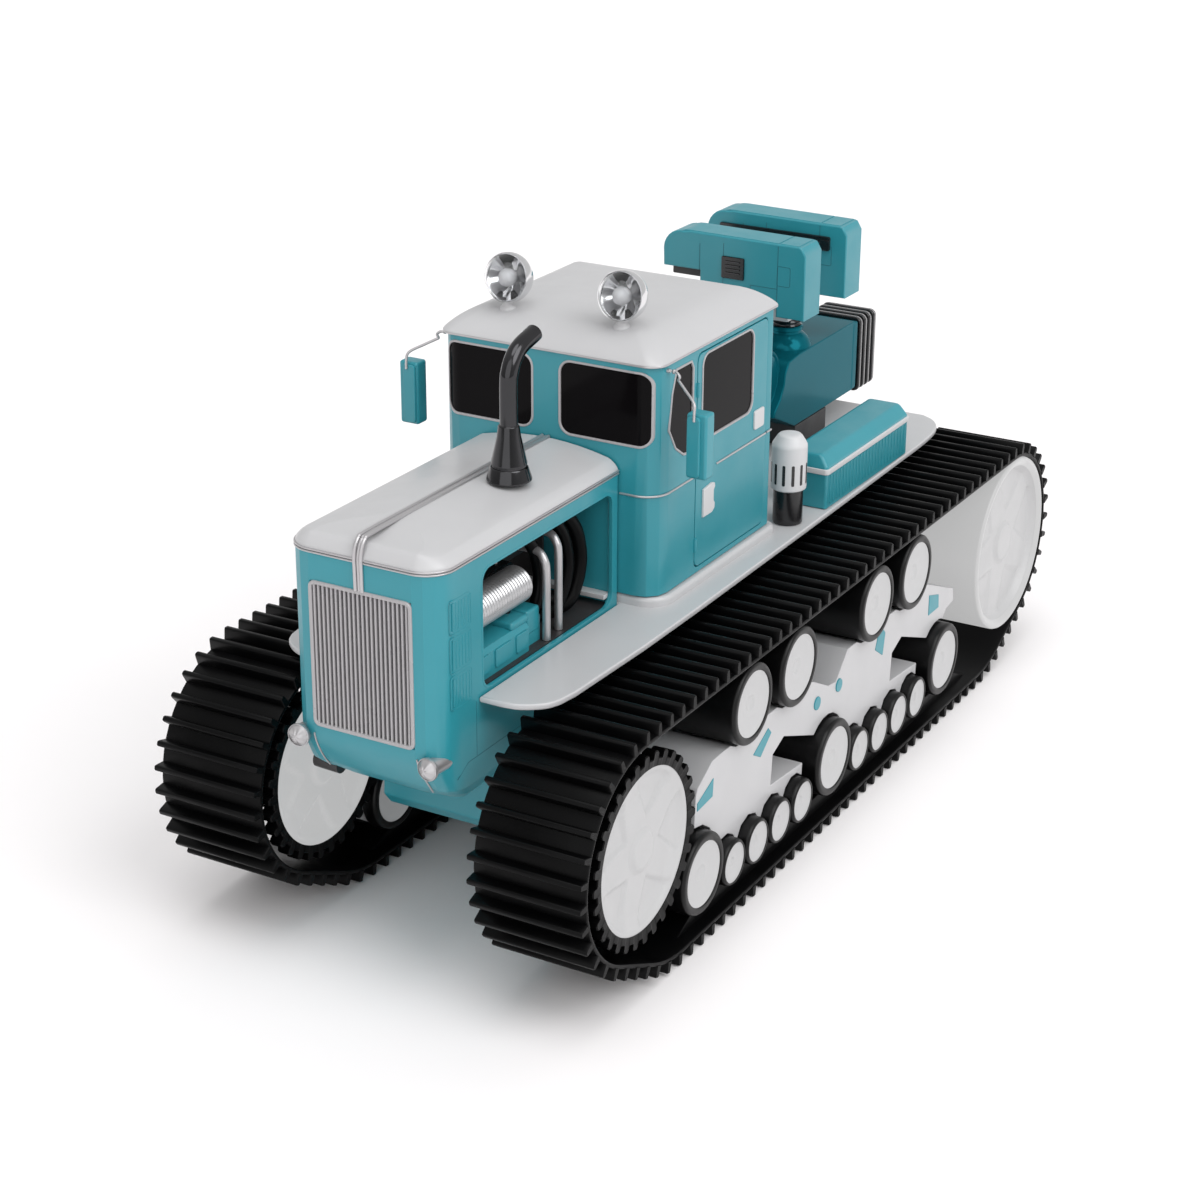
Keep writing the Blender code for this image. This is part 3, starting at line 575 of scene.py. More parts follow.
def make_belts():
    """A band swept round the loop, rounded bars across it, and the guide rail for the lower rollers."""
    section = rounded_rectangle((0.0002 - BELT_HALF, 0), (BELT_HALF - 0.0002, BELT_THICKNESS), 0.0006, 2)
    loops = []
    for length, place in belt_stretches(0):
        steps = max(2, round(length / 0.0045))
        for i in range(steps):
            y, z, angle = place(length * i / steps)
            out_y, out_z = math.cos(angle), math.sin(angle)
            loops.append([(TRACK_X + x, y + h * out_y, z + h * out_z) for x, h in section])
    parts = [lofted(loops, closed=True)]
    stretches = belt_stretches(BELT_THICKNESS)
    total = sum(length for length, _ in stretches)
    count = round(total / CLEAT_PITCH)
    half = [(0.0015, -0.0004), (0.00133, 0.0014), (0.00112, 0.0033), (0.00092, 0.0039), (0.0006, 0.0041)]
    profile = symmetric(half)
    end, full_end = BELT_HALF, BELT_HALF - 0.0004
    stations = ((-end, 0.80, 0.95), (-full_end, 1, 1), (full_end, 1, 1), (end, 0.80, 0.95))
    for index in range(count):
        y, z, angle = point_along(stretches, total * index / count)
        out = Vector((0, math.cos(angle), math.sin(angle)))
        along = Vector((0, -math.sin(angle), math.cos(angle)))
        foot = Vector((TRACK_X, y, z))
        rows = []
        for x, wide, tall in stations:
            centre = foot + Vector((x, 0, 0))
            rows.append([centre + along * (t * wide) + out * (h * tall) for t, h in profile])
        parts.append(lofted(rows))
    end = BELT_CORNER_Y - 0.002
    low = BELT_RUN_Z - 0.0009
    rail = [(-end, low), (end, low), (end - 0.016, RAIL_TOP_Z), (0.016 - end, RAIL_TOP_Z)]
    parts.append(slab(rail, TRACK_X - 0.0165, TRACK_X + 0.0165, ALONG_X, 0.0010))
    both("track_band", joined(*parts), RUBBER, replaces="track_belt_{}", weigh=False)


def on_axle(side, y, z):
    """The frame whose Z points outward across the track."""
    return shift(side * TRACK_X, y, z) @ Matrix.Rotation(side * math.pi / 2, 4, "Y")


def make_sprockets():
    """Toothed rims and five-spoked dished faces on both sides of an axle."""
    half_tooth = [(-0.30, 0.0327), (-0.25, 0.0334), (-0.23, 0.0347), (-0.13, 0.0354)]
    outline = []
    for number in range(SPROCKET_TEETH):
        for share, radius in symmetric(half_tooth):
            angle = 2 * math.pi * (number + share) / SPROCKET_TEETH
            outline.append((radius * math.cos(angle), radius * math.sin(angle)))
    bore = 0.0298
    inner = [(u * bore / math.hypot(u, v), v * bore / math.hypot(u, v)) for u, v in outline]
    near, far = WHEEL_HALF - 0.0050, WHEEL_HALF
    shrunk = [(u * 0.990, v * 0.990) for u, v in outline]
    levels = ((shrunk, near), (outline, near + 0.0004), (outline, far - 0.0004), (shrunk, far))
    levels += ((inner, far - 0.0003), (inner, near))
    rim = lofted([[(u, v, w) for u, v in loop] for loop, w in levels], closed=True)
    plate = [(0.006, near + 0.0002), (bore, near + 0.0002), (bore, near + 0.0010), (0.006, near + 0.0010)]
    back = turned(plate, 48)
    axle = turned([(0.0058, -near), (0.0058, near)], 24)
    collar = turned([(0.0058, near - 0.0030), (0.0095, near - 0.0010), (0.0100, near + 0.0004)], 32)
    one = joined(rim, back, collar)
    wheel = joined(one, moved(one, OVER), axle)
    face = dished(0.0299, sprocket_face, 30, 120)
    for word, side in SIDES:
        place = on_axle(side, FRONT_AXLE_Y, AXLE_Z)
        body = f"drive_sprocket_{word}"
        piece(f"sprocket_rim_{word}", wheel.copy(), RUBBER, body, (body,), 35, matrix=place)
        # Face and back take the glowing disc finishes: painted light that keeps them pale in the shade.
        piece(f"sprocket_face_{word}", face.copy(), DISC, body, (), 60, False, place)
        piece(f"sprocket_back_{word}", moved(face, OVER), DISC_BACK, body, (), 60, False, place)


def sprocket_face(r, angle):
    """The height of a sprocket's face: dished, with a raised hub and five spokes."""
    dish = -0.0014 * smooth_step((0.0292 - r) / 0.008)
    hub = 0.0014 * smooth_step((0.0080 - r) / 0.0015)
    return WHEEL_HALF - 0.0006 + dish + hub + spoked(r, angle + 0.3, 0.0080, 0.0285, 0.0050, 0.0015)


def idler_rim(r):
    """The raised rim of the idler's outer face."""
    return 0.0026 * smooth_step((r - 0.0330) / 0.0012)


def idler_face(r, angle):
    """The height of the idler's outer face, with a raised rim and hub and five spokes."""
    hub = 0.0014 * smooth_step((0.0095 - r) / 0.0018)
    return WHEEL_HALF - 0.0042 + idler_rim(r) + hub + spoked(r, angle + 0.2, 0.0100, 0.0335, 0.0060, 0.0009)


def idler_back(r, angle):
    """The inner face: without the raised rim of the outer one, and further out."""
    return idler_face(r, angle) + 0.0022 - idler_rim(r)


def make_idlers():
    """Open drums with a five-spoked face at both ends."""
    half = WHEEL_HALF
    shell = [(0.0345, half - 0.0016), (0.0362, half - 0.0001), (0.0372, half), (0.0382, half - 0.0004)]
    shell += [(0.0385, half - 0.0012), (0.0385, half - 0.0289), (0.0382, half - 0.0295)]
    shell += [(0.0350, half - 0.0295), (0.0345, half - 0.0290), (0.0345, half - 0.0065)]
    shell += [(0.0060, half - 0.0065), (0.0060, 0.0050 - half), (0.0378, 0.0050 - half)]
    shell += [(0.0385, 0.0044 - half), (0.0385, 0.0008 - half), (0.0378, -half), (0.0345, 0.0010 - half)]
    drum = turned(shell, 72)
    faces = joined(dished(0.0346, idler_face, 34, 120), moved(dished(0.0346, idler_back, 24, 100), OVER))
    for word, side in SIDES:
        body = f"idler_wheel_{word}"
        place = on_axle(side, REAR_AXLE_Y, AXLE_Z)
        # The drum takes the glowing back finish: painted light that keeps it pale in the shade beneath it.
        piece(f"idler_drum_{word}", drum.copy(), DISC_BACK, body, (body,), 50, matrix=place)
        piece(f"idler_face_{word}", faces.copy(), DISC, body, (), 60, False, place)


def roller_meshes(radius, neck, rim, steps):
    """The tyre with its rounded shoulders, and the dished faces at both its ends."""
    half = WHEEL_HALF
    shoulder = [(rim, half - 0.0016), (rim + 0.0001, half - 0.0004), (rim + 0.0005, half)]
    shoulder += [(radius - 0.0013, half), (radius - 0.0006, half - 0.0002), (radius - 0.0001, half - 0.0008)]
    shoulder.append((radius, half - 0.0016))
    web_outer, web_inner = -0.0097, -0.0153
    middle = [(radius, web_outer + 0.0006), (radius - 0.0006, web_outer), (neck, web_outer)]
    middle += [(neck, web_inner), (radius - 0.0006, web_inner), (radius, web_inner - 0.0006)]
    tyre = turned(shoulder + middle + [(r, -z) for r, z in reversed(shoulder)], steps)

    def height(r, angle):
        dish = -0.0007 * smooth_step((rim * 0.95 - r) / (rim * 0.5))
        dimple = -0.0005 * smooth_step((rim * 0.24 - r) / (rim * 0.05))
        edge = 0.0004 * smooth_step((r - rim * 0.93) / (rim * 0.05))
        return half - 0.0008 + dish + dimple + edge

    face = dished(rim + 0.00005, height, 20, steps)
    return tyre, joined(face, moved(face, OVER))


def make_rollers():
    """Tyres with a pale disc at both ends: road wheels and small rollers below, carriers above."""
    kinds = (
        ("road_wheel", ROAD_Y, ROAD_Z, roller_meshes(0.0156, 0.0029, 0.0123, 48)),
        ("small_roller", SMALL_Y, SMALL_Z, roller_meshes(0.0090, 0.0019, 0.0077, 36)),
        ("upper_roller", UPPER_Y, UPPER_Z, roller_meshes(0.0155, 0.0029, 0.0124, 48)),
    )
    for kind, places, z, (tyre, faces) in kinds:
        for word, side in SIDES:
            for number, y in enumerate(places, 1):
                body = f"{kind}_{word}_{number}"
                place = on_axle(side, y, z)
                piece(f"{kind}_tyre_{word}_{number}", tyre.copy(), TYRE, body, (body,), 50, matrix=place)
                # The discs take the glowing disc finish: painted light.
                piece(f"{kind}_disc_{word}_{number}", faces.copy(), DISC, body, (), 60, False, place)


INSERTS = (
    ((-0.1200, 0.0510), (-0.1085, 0.0520), (-0.1080, 0.0590), (-0.1200, 0.0540)),
    ((-0.0765, 0.0547), (-0.0706, 0.0514), (-0.0620, 0.0580), (-0.0646, 0.0607)),
    ((0.0310, 0.0557), (0.0385, 0.0508), (0.0403, 0.0601), (0.0349, 0.0652)),
    ((0.0850, 0.0510), (0.0956, 0.0510), (0.0950, 0.0570), (0.0850, 0.0600)),
)


def make_frames():
    """Bogie castings with softened edges, teal inlays, pivot caps and ribs on their inner web."""
    both("bogie_frame", softened("track_frame_left", 0.0004), WHITE, replaces="track_frame_{}", sharp=35)
    face = TRACK_X + 0.0170
    inlays = [slab(list(loop), face - 0.0010, face + 0.00025, ALONG_X, 0.0001, 1) for loop in INSERTS]
    for y in (-0.0225, -0.0030):
        inlays.append(slab(circle(y, 0.0539, 0.0027, 28), face - 0.001, face + 0.0005, ALONG_X, 0.0002))
    both("bogie_inlays", joined(*inlays), TEAL)
    back = TRACK_X - 0.0150
    fittings = []
    for places, z in ((ROAD_Y, ROAD_Z), (UPPER_Y, UPPER_Z)):
        for y in places:
            fittings.append(slab(circle(y, z, 0.0046, 24), back - 0.0002, back + 0.0001, ALONG_X, 0.0001, 1))
    for y in (-0.1090, -0.0310, 0.0770):
        low, high = (y, 0.0400), (y + 0.0130, 0.0600)
        fittings.append(panel(low, high, 0.002, 3, back - 0.0012, back + 0.0005, ALONG_X))
    for y in (-0.1130, -0.0355, 0.0120, 0.0725, 0.1000):
        fittings.append(slab(circle(y, 0.0500, 0.0016, 6), back - 0.0010, back + 0.0005, ALONG_X, 0.0001, 1))
    both("bogie_fittings", joined(*fittings), WHITE)


# Body


def make_hull():
    """Lower body with softened edges, bolted belly plate and rear cover, a hitch and a tow hook."""
    piece("hull_body", softened("hull", 0.0008, segments=3), TEAL, replaces=("hull",))
    belly = panel((-0.0215, -0.128), (0.0215, 0.128), 0.006, 6, 0.0374, 0.0383, ALONG_Z)
    cover = panel((-0.0220, 0.0520), (0.0220, 0.0970), 0.004, 6, 0.1527, 0.1539, ALONG_Y, 0.0004)
    piece("hull_covers", joined(belly, cover), TEAL)
    bolts = []
    for y in (-0.120, -0.060, 0.0, 0.060, 0.120):
        for x in (-0.0180, 0.0180):
            bolts.append(slab(circle(x, y, 0.0014, 6), 0.0368, 0.0376, ALONG_Z, 0.0002))
    for x in (-0.0185, 0.0185):
        for z in (0.0555, 0.0745, 0.0935):
            bolts.append(slab(circle(x, z, 0.0014, 6), 0.1536, 0.1546, ALONG_Y, 0.0002))
    piece("hull_bolts", joined(*bolts), CHROME)
    lug = [(0.1600, 0.0420), (0.1625, 0.0445), (0.1625, 0.0480), (0.1600, 0.0500)]
    lug += [(0.1530, 0.0500), (0.1530, 0.0420)]
    hitch = [slab(lug, x - 0.0012, x + 0.0012, ALONG_X, 0.0004) for x in (-0.0045, 0.0045)]
    hitch.append(slab(circle(0.1595, 0.0460, 0.0013, 20), -0.0070, 0.0070, ALONG_X, 0.0003))
    piece("rear_hitch", joined(*hitch), CHARCOAL)
    bar = [(x, -0.1870, z) for x, z in ((-0.0315, 0.0726), (-0.0270, 0.0724), (-0.0215, 0.0722))]
    piece("tow_hook", tube(bar, 0.0034, 20, 4), CHARCOAL)


def make_deck():
    """Wings beside the housing that join behind it, with a low filleted plinth for the cab."""
    inner = HOUSING_HALF + 0.0003
    notch = HOUSING_REAR_Y + 0.0003
    nose = smoothed_pairs([(0.0386, -0.1797), (0.0456, -0.1784), (0.0523, -0.1735), (0.0550, -0.1683)], 4)
    flank = [(0.0562, -0.1600), (0.0575, -0.1150), (0.0575, -0.0750), (0.0565, 0.0110)]
    tail = [(0.0550, 0.1100), (0.0544, 0.1380), (0.0525, 0.1550), (0.0475, 0.1650), (0.0404, 0.1700)]
    tail = smoothed_pairs(tail, 5)
    loop = symmetric([(inner, -0.1797), *nose, *flank, *tail]) + [(-inner, notch), (inner, notch)]
    plate = slab(loop, 0.1049, DECK_TOP_Z, ALONG_Z, 0.0007, 3)
    foot = cornered(CAB_HALF + 0.0020, CAB_FRONT_Y + 0.0002, CAB_REAR_Y + 0.0020, 0.0100, 0.0050, 6)
    levels = ((0, DECK_TOP_Z - 0.0005), (0, 0.1090), (-0.0002, 0.1098), (-0.0007, 0.1104), (-0.0014, 0.1107))
    plinth = lofted([[(x, y, z) for x, y in grown(foot, inset)] for inset, z in levels])
    piece("deck_plate", joined(plate, plinth), WHITE, replaces=("deck",), sharp=50)


def plan(inset):
    """The plan of the engine housing, anticlockwise, with round front corners and a straight rear."""
    steps = 8
    half = HOUSING_HALF - inset
    front = HOUSING_FRONT_Y + inset
    radius = max(HOUSING_CORNER - inset, 0.0008)
    loop = [(half, HOUSING_REAR_Y), (-half, HOUSING_REAR_Y)]
    loop += arc(radius - half, front + radius, radius, 180, 270, steps)
    loop += arc(half - radius, front + radius, radius, 270, 360, steps)
    return loop


def chin_set_back(point):
    """How far the nose runs back at a point below the grille."""
    down = smooth_step((CHIN_TOP_Z - point.z) / 0.040) * 2
    corner = 1 - 0.35 * smooth_step((abs(point.x) - 0.0200) / 0.0100)
    return 0.0100 * min(down, 1.2) * corner * smooth_step((CHIN_BACK_Y - point.y) / 0.0225)


def sloped_chin(mesh):
    """Cuts the housing into short bands below the grille and slopes and rounds them."""
    bm = bmesh.new()
    bm.from_mesh(mesh)
    cuts = [((0, 0, CHIN_TOP_Z - 0.0020 * i), (0, 0, 1)) for i in range(13)]
    cuts += [((0, -0.2010 + 0.0025 * i, 0), (0, 1, 0)) for i in range(10)]
    cuts += [((0.0040 * i, 0, 0), (1, 0, 0)) for i in range(-7, 8)]
    for place, normal in cuts:
        near = [f for f in bm.faces if min(v.co.y for v in f.verts) < CHIN_BACK_Y]
        near = [f for f in near if min(v.co.z for v in f.verts) < CHIN_TOP_Z]
        near = list({g for f in near for g in (*f.verts, *f.edges, f)})
        bmesh.ops.bisect_plane(bm, geom=near, plane_co=place, plane_no=normal, dist=1e-6)
    for vertex in bm.verts:
        low = smooth_step((0.0790 - vertex.co.z) / 0.0090) * smooth_step((-0.1850 - vertex.co.y) / 0.0150)
        back = chin_set_back(vertex.co)
        vertex.co.x *= 1 - 0.07 * low * smooth_step((abs(vertex.co.x) - 0.0160) / 0.0140)
        vertex.co.z += 0.0016 * low * smooth_step((abs(vertex.co.x) - 0.0140) / 0.0140)
        vertex.co.y += back
    bm.to_mesh(mesh)
    bm.free()
    return mesh


def make_housing():
    """Engine housing with the lining and lip of its open bay, louvre stacks, seams and grille."""
    shell = sloped_chin(softened("engine_housing", 0.0004))
    piece("engine_shell", shell, TEAL, replaces=("engine_housing",), sharp=50)
    inside = [(-0.0280, -0.1930), (0.0280, -0.1930), (0.0280, -0.0868), (-0.0280, -0.0868)]
    floor = slab(inside, 0.1074, 0.1079, edge=0.0001)
    ceiling = slab(inside, 0.1535, 0.1560, edge=0.0001)
    front = block((-0.0278, -0.1930, 0.1080), (0.0278, -0.1840, 0.1540))
    middle = block((-0.0012, -0.1850, 0.1270), (0.0012, -0.0980, 0.1545))
    rear = block((-0.0280, -0.0900, 0.1080), (0.0010, -0.0885, 0.1545))
    piece("bay_lining", joined(floor, ceiling, front, middle, rear), CHARCOAL)
    bulkhead = block((-0.0280, -0.0890, 0.1078), (0.0280, -0.0868, 0.1540))
    piece("bay_bulkhead", bulkhead, TEAL)
    ledge = block((-0.0286, -0.0932, 0.1104), (0.0286, -0.0888, 0.1122), 0.0003)
    piece("bay_ledge", ledge, WHITE)
    opening = rounded_rectangle((-0.1770, 0.1080), (-0.0900, 0.1515), 0.005, 6)
    lip = strip(opening, (-0.0004, 0.0005), (-0.0012, 0.00012), 0.0001, ALONG_X, HOUSING_HALF)
    both("bay_lip", lip, TEAL)

    louvres = []
    for low, high in ((0.1352, 0.1468), (0.1214, 0.1338), (0.1082, 0.1200)):
        rim = rounded_rectangle((-0.1962, low), (-0.1842, high), 0.0010, 3)
        louvres.append(strip(rim, (0, 0.00025), (-0.0002, 0.00010), 0.00005, ALONG_X, HOUSING_HALF))
        bottom, top = low + 0.0010, high - 0.0010
        for i in range(6):
            y = -0.1950 + 0.0019 * i
            slot = [(y, bottom), (y + 0.0010, bottom), (y + 0.0010, top), (y, top)]
            louvres.append(slab(slot, HOUSING_HALF - 0.0003, HOUSING_HALF + 0.00016, ALONG_X, 0.0001))
    both("side_louvres", joined(*louvres), TEAL)
    seams = []
    upright = [(-0.1815, 0.0860), (-0.1815, 0.1060)]
    sill = [(-0.1935, 0.0820), (-0.1870, 0.0858), (-0.1240, 0.0858)]
    for route in (upright, sill):
        seams.append(strip(route, (0, 0.0002), (-0.0002, 0.00006), 0.00004, ALONG_X, HOUSING_HALF, False))
    both("side_seams", joined(*seams), TEAL_DARK)

    front_y = HOUSING_FRONT_Y
    back = panel((-0.0196, 0.0952), (0.0196, 0.1466), 0.0012, 6, front_y + 0.0013, front_y + 0.0032, ALONG_Y)
    piece("grille_back", back, BLACK, replaces=("grille",))
    opening = rounded_rectangle((-0.0200, 0.0948), (0.0200, 0.1470), 0.0022, 6)
    ring = strip(opening, (-0.0010, 0.0004), (-0.0010, 0.0007), 0.0005, ALONG_Y, -front_y, steps=4)
    bars = []
    for bar in range(22):
        x = -0.0182 + 0.0364 * bar / 21
        low, high = (x - 0.00044, front_y - 0.0004), (x + 0.00044, front_y + 0.0014)
        bars.append(panel(low, high, 0.0004, 3, 0.0955, 0.1464, ALONG_Z, 0))
    piece("grille_bars", joined(ring, *bars), TRIM, sharp=60)


def hood_height(x, inset):
    """The height of the lid: a round edge and a crown across it."""
    edge = min(inset / 0.0040, 1)
    fall = 0.0034 * (1 - math.sqrt(1 - (1 - edge) ** 2))
    return 0.1612 - fall + 0.0043 * (1 - (x / HOUSING_HALF) ** 2) * smooth_step(edge)


def make_hood():
    """Crowned lid with a rounded rim, the double waist strip and the centre rib of three beads."""
    loops = [[(x, y, 0.1576) for x, y in plan(0)]]
    insets = (0, 0.0002, 0.0006, 0.0012, 0.0020, 0.0030, 0.0040)
    insets += (0.0070, 0.0110, 0.0160, 0.0210, 0.0260, 0.0296)
    for inset in insets:
        loops.append([(x, y, hood_height(x, inset)) for x, y in plan(inset)])
    piece("hood_lid", lofted(loops), WHITE, replaces=("hood_top",), sharp=50)
    path = plan(0)[1:] + plan(0)[:1]
    trims = []
    for z in (0.1568, 0.1578):
        trims.append(strip(path, (-0.0003, 0.00045), (z, z + 0.0007), 0.0003, ALONG_Z, 0, False, 3))
    route = [(-0.0003, 0.1472), (-0.0004, 0.1540), (-0.0005, 0.1588), (0.0003, 0.1625), (0.0022, 0.1648)]
    route += [(0.0060, 0.1656), (0.0335, 0.1657), (0.0735, 0.1657), (0.1176, 0.1657)]
    for x, sunk in ((-0.0013, 0), (0.0013, 0), (0, 0.0004)):
        trims.append(tube([(x, HOUSING_FRONT_Y + back + sunk, z - sunk) for back, z in route], 0.0007, 10, 5))
    piece("hood_trim", joined(*trims), SATIN, sharp=60)


def lens_height(r, angle):
    """A domed lens with six facets."""
    return 0.0021 * (1 - (r / 0.0038) ** 2) + 0.00011 * math.cos(6 * angle) * min(r / 0.001, 1)


def make_headlights():
    """Bullet lamps with domed, faceted lenses, and thin satin beads on the sloping chin's edges under them
    that paint the highlight line there.
    """
    tip, tail = Vector((0.0260, -0.2052, 0.0897)), Vector((0.0278, -0.1895, 0.0891))
    place = Matrix.Translation(tip) @ (tip - tail).normalized().to_track_quat("Z", "Y").to_matrix().to_4x4()
    profile = [(0.0037, 0.0003), (0.0040, 0.0002), (0.0041, -0.0006), (0.0039, -0.0012), (0.0031, -0.0020)]
    profile += [(0.0030, -0.0040), (0.0028, -0.0090), (0.0022, -0.0125), (0.0010, -0.0135), (0, -0.0136)]
    both("headlight_body", turned(profile, 40, place), SATIN)
    both("headlight_lens", moved(dished(0.0038, lens_height, 12, 60), place), SATIN, weigh=False)
    # A thin satin bead along each edge of the sloping chin: real geometry that paints the highlight line on
    # that edge.
    edge = [(0.0207, 0.0912), (0.0208, 0.0885), (0.0210, 0.0845)]
    edge += [(0.0212, 0.0805), (0.0212, 0.0780), (0.0210, 0.0756)]
    route = []
    for x, z in edge:
        point = Vector((x, HOUSING_FRONT_Y - 0.0001, z))
        route.append((x, point.y + chin_set_back(point), z))
    both("chin_highlight_bead", tube(route, 0.00035, 8, 6), SATIN)


WINDSCREEN = rounded_rectangle((0.0058, 0.1680), (0.0423, 0.1950), 0.0045, 8)
REAR_WINDOW = rounded_rectangle((-0.0300, 0.1680), (0.0300, 0.1930), 0.0045, 8)
QUARTER = [(-0.0720, 0.1650), (-0.0660, 0.1610), (-0.0595, 0.1600), (-0.0595, 0.1915)]
QUARTER += [(-0.0610, 0.1940), (-0.0720, 0.1940), (-0.0750, 0.1860), (-0.0770, 0.1730)]
DOOR_PANE = rounded_rectangle((-0.0520, 0.1617), (-0.0115, 0.1940), 0.0045, 8)


def window(loop, face, direction, body, name, mirror=False):
    """A pane just below a face, and the rounded frame round it; both follow the cab's round corners."""
    forward = direction is ALONG_Y and face < 0
    level = -face if direction is ALONG_Y else face
    out = 1 if forward or direction is ALONG_X else -1
    edge = sorted((-0.0009 * out, 0.00035 * out))
    deep = sorted((-0.0009 * out, -0.0003 * out))
    ring = strip(divided(loop), (-0.0003, 0.0006), edge, 0.0003, direction, level, steps=4)
    pane = slab(divided(grown(loop, 0.0001)), level + deep[0], level + deep[1], ALONG_Z, 0)
    pane.transform(direction)
    sides = SIDES if mirror else (("centre", 1),)
    for word, side in sides:
        for mesh, kind, material in ((pane, "pane", GLASS), (ring, "frame", TRIM)):
            copy = mirrored(mesh, side)
            if forward:
                wrap(copy)
            piece(f"{name}_{kind}_{word}", copy, material, body.format(word), sharp=60)


def divided(loop):
    """A loop with its long stretches cut into short ones."""
    longest = 0.0025
    result = []
    for (u0, v0), (u1, v1) in zip(loop, loop[1:] + loop[:1]):
        parts = max(1, math.ceil(math.hypot(u1 - u0, v1 - v0) / longest))
        result += [(u0 + (u1 - u0) * i / parts, v0 + (v1 - v0) * i / parts) for i in range(parts)]
    return result


def wrap(mesh):
    """Sets a flat piece on the cab's front back round the upright corners."""
    start = CAB_HALF - CAB_CORNER
    bm = bmesh.new()
    bm.from_mesh(mesh)
    for side in (1, -1):
        for cut in range(8):
            place = (side * (start + 0.0009 * cut), 0, 0)
            everything = bm.verts[:] + bm.edges[:] + bm.faces[:]
            bmesh.ops.bisect_plane(bm, geom=everything, plane_co=place, plane_no=(1, 0, 0), dist=1e-6)
    for vertex in bm.verts:
        over = abs(vertex.co.x) - start
        if over > 0:
            vertex.co.y += CAB_CORNER - math.sqrt(CAB_CORNER**2 - min(over, CAB_CORNER) ** 2)
    bm.to_mesh(mesh)
    bm.free()


def cornered(half, front, rear, wide, tight, steps=8):
    """A plan symmetric about x = 0 with its rear corners tighter than its front ones."""
    loop = arc(half - tight, rear - tight, tight, 0, 90, steps)
    loop += arc(tight - half, rear - tight, tight, 90, 180, steps)
    loop += arc(wide - half, front + wide, wide, 180, 270, steps)
    return loop + arc(half - wide, front + wide, wide, 270, 360, steps)


def roof_plan(inset):
    """The outline of the roof, which overhangs the cab a little."""
    front, rear = CAB_FRONT_Y - 0.0005 + inset, CAB_REAR_Y + 0.0005 - inset
    wide, tight = max(0.0062 - 0.1 * inset, 0.002), max(0.0017 - 0.02 * inset, 0.001)
    return cornered(0.0460 - inset, front, rear, wide, tight)


def squared_rear(mesh):
    """Pulls the cab's rear corners out to a smaller radius."""
    centre = CAB_CORNER - REAR_CORNER
    for vertex in mesh.vertices:
        u = abs(vertex.co.x) - CAB_HALF + CAB_CORNER
        v = vertex.co.y - CAB_REAR_Y + CAB_CORNER
        if u <= 0 or v <= 0:
            continue
        size = math.hypot(u, v)
        reach = CAB_CORNER * size / max(u, v)
        if reach * min(u, v) / size > centre:
            along = centre * (u + v) / size
            reach = along + math.sqrt(along**2 - 2 * centre**2 + REAR_CORNER**2)
        vertex.co.x += math.copysign(u * (reach / CAB_CORNER - 1), vertex.co.x)
        vertex.co.y += v * (reach / CAB_CORNER - 1)
    return mesh


def waist_bar(path):
    """A bright bar along the cab's waist."""
    return strip(path, (-0.0003, 0.0005), (-0.0004, 0.0004), 0.0003, ALONG_Z, WAIST_Z, False, 3)


def make_cab():
    """Cab shell, crowned roof, drip rail, windows and waist strip."""
    piece("cab_body", squared_rear(softened("cab_shell", 0.0004)), TEAL, replaces=("cab_shell",), sharp=35)
    loops = [[(x, y, 0.1979) for x, y in roof_plan(0.0004)]]
    insets = (0, 0.0003, 0.0009, 0.0018, 0.0030, 0.0045, 0.0062, 0.0082)
    insets += (0.0105, 0.0130, 0.0160, 0.0200, 0.0260, 0.0340, 0.0420)
    for inset in insets:
        out = 1 - min(inset / 0.0150, 1)
        height = 0.1983 + 0.0080 * (0.16 * math.sqrt(1 - out**2) + 0.84 * (1 - out**2))
        loops.append([(x, y, height + 0.0014 * smooth_step(inset / 0.035)) for x, y in roof_plan(inset)])
    piece("roof_shell", lofted(loops), WHITE, replaces=("cab_roof",), sharp=60)
    rail = strip(roof_plan(0.0003), (-0.0006, 0.0004), (-0.0005, 0.0004), 0.0003, ALONG_Z, 0.1979, steps=3)
    piece("drip_rail", rail, SATIN, sharp=60)
    window(WINDSCREEN, CAB_FRONT_Y, ALONG_Y, "root", "windscreen", True)
    window(QUARTER, CAB_HALF, ALONG_X, "root", "quarter_light", True)
    window(REAR_WINDOW, CAB_REAR_Y, ALONG_Y, "root", "rear_window")
    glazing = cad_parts["cab_glazing"].data
    glazing.materials.clear()
    glazing.materials.append(GLASS)
    corner = arc(CAB_HALF - CAB_CORNER, CAB_FRONT_Y + CAB_CORNER, CAB_CORNER, 270, 360, 10)
    front = waist_bar([(HOUSING_HALF + 0.0003, CAB_FRONT_Y), *corner, (CAB_HALF, -0.0562)])
    both("waist_strip", joined(front, waist_bar([(CAB_HALF, 0.0012), (CAB_HALF, 0.0052)])), SATIN)
    make_cab_interior()


def make_cab_interior():
    """A plain seat, a dashboard and four levers with knobs."""
    seat = joined(
        block((-0.0130, -0.0330, 0.1125), (0.0130, -0.0080, 0.1290), 0.0030, 4),
        block((-0.0130, -0.0110, 0.1270), (0.0130, -0.0040, 0.1560), 0.0030, 4),
        block((-0.0090, -0.0090, 0.1540), (0.0090, -0.0050, 0.1640), 0.0018, 3),
    )
    piece("driver_seat", seat, CHARCOAL)
    dash = [(-0.0826, 0.1110), (-0.0700, 0.1110), (-0.0720, 0.1480), (-0.0800, 0.1560), (-0.0826, 0.1560)]
    piece("dashboard", slab(dash, -0.0410, 0.0410, ALONG_X, 0.0015, 3), CHARCOAL)
    ball = [(0, 0.0022), (0.0014, 0.0017), (0.0020, 0), (0.0014, -0.0017), (0, -0.0022)]
    levers, knobs = [], []
    for x in (-0.0120, -0.0060, 0.0060, 0.0120):
        levers.append(tube([(x, -0.0600, 0.1110), (x, -0.0570, 0.1280), (x, -0.0520, 0.1400)], 0.0009, 10))
        knobs.append(turned(ball, 16, shift(x, -0.0516, 0.1410)))
    piece("steering_levers", joined(*levers), CHROME)
    piece("lever_knobs", joined(*knobs), BLACK)


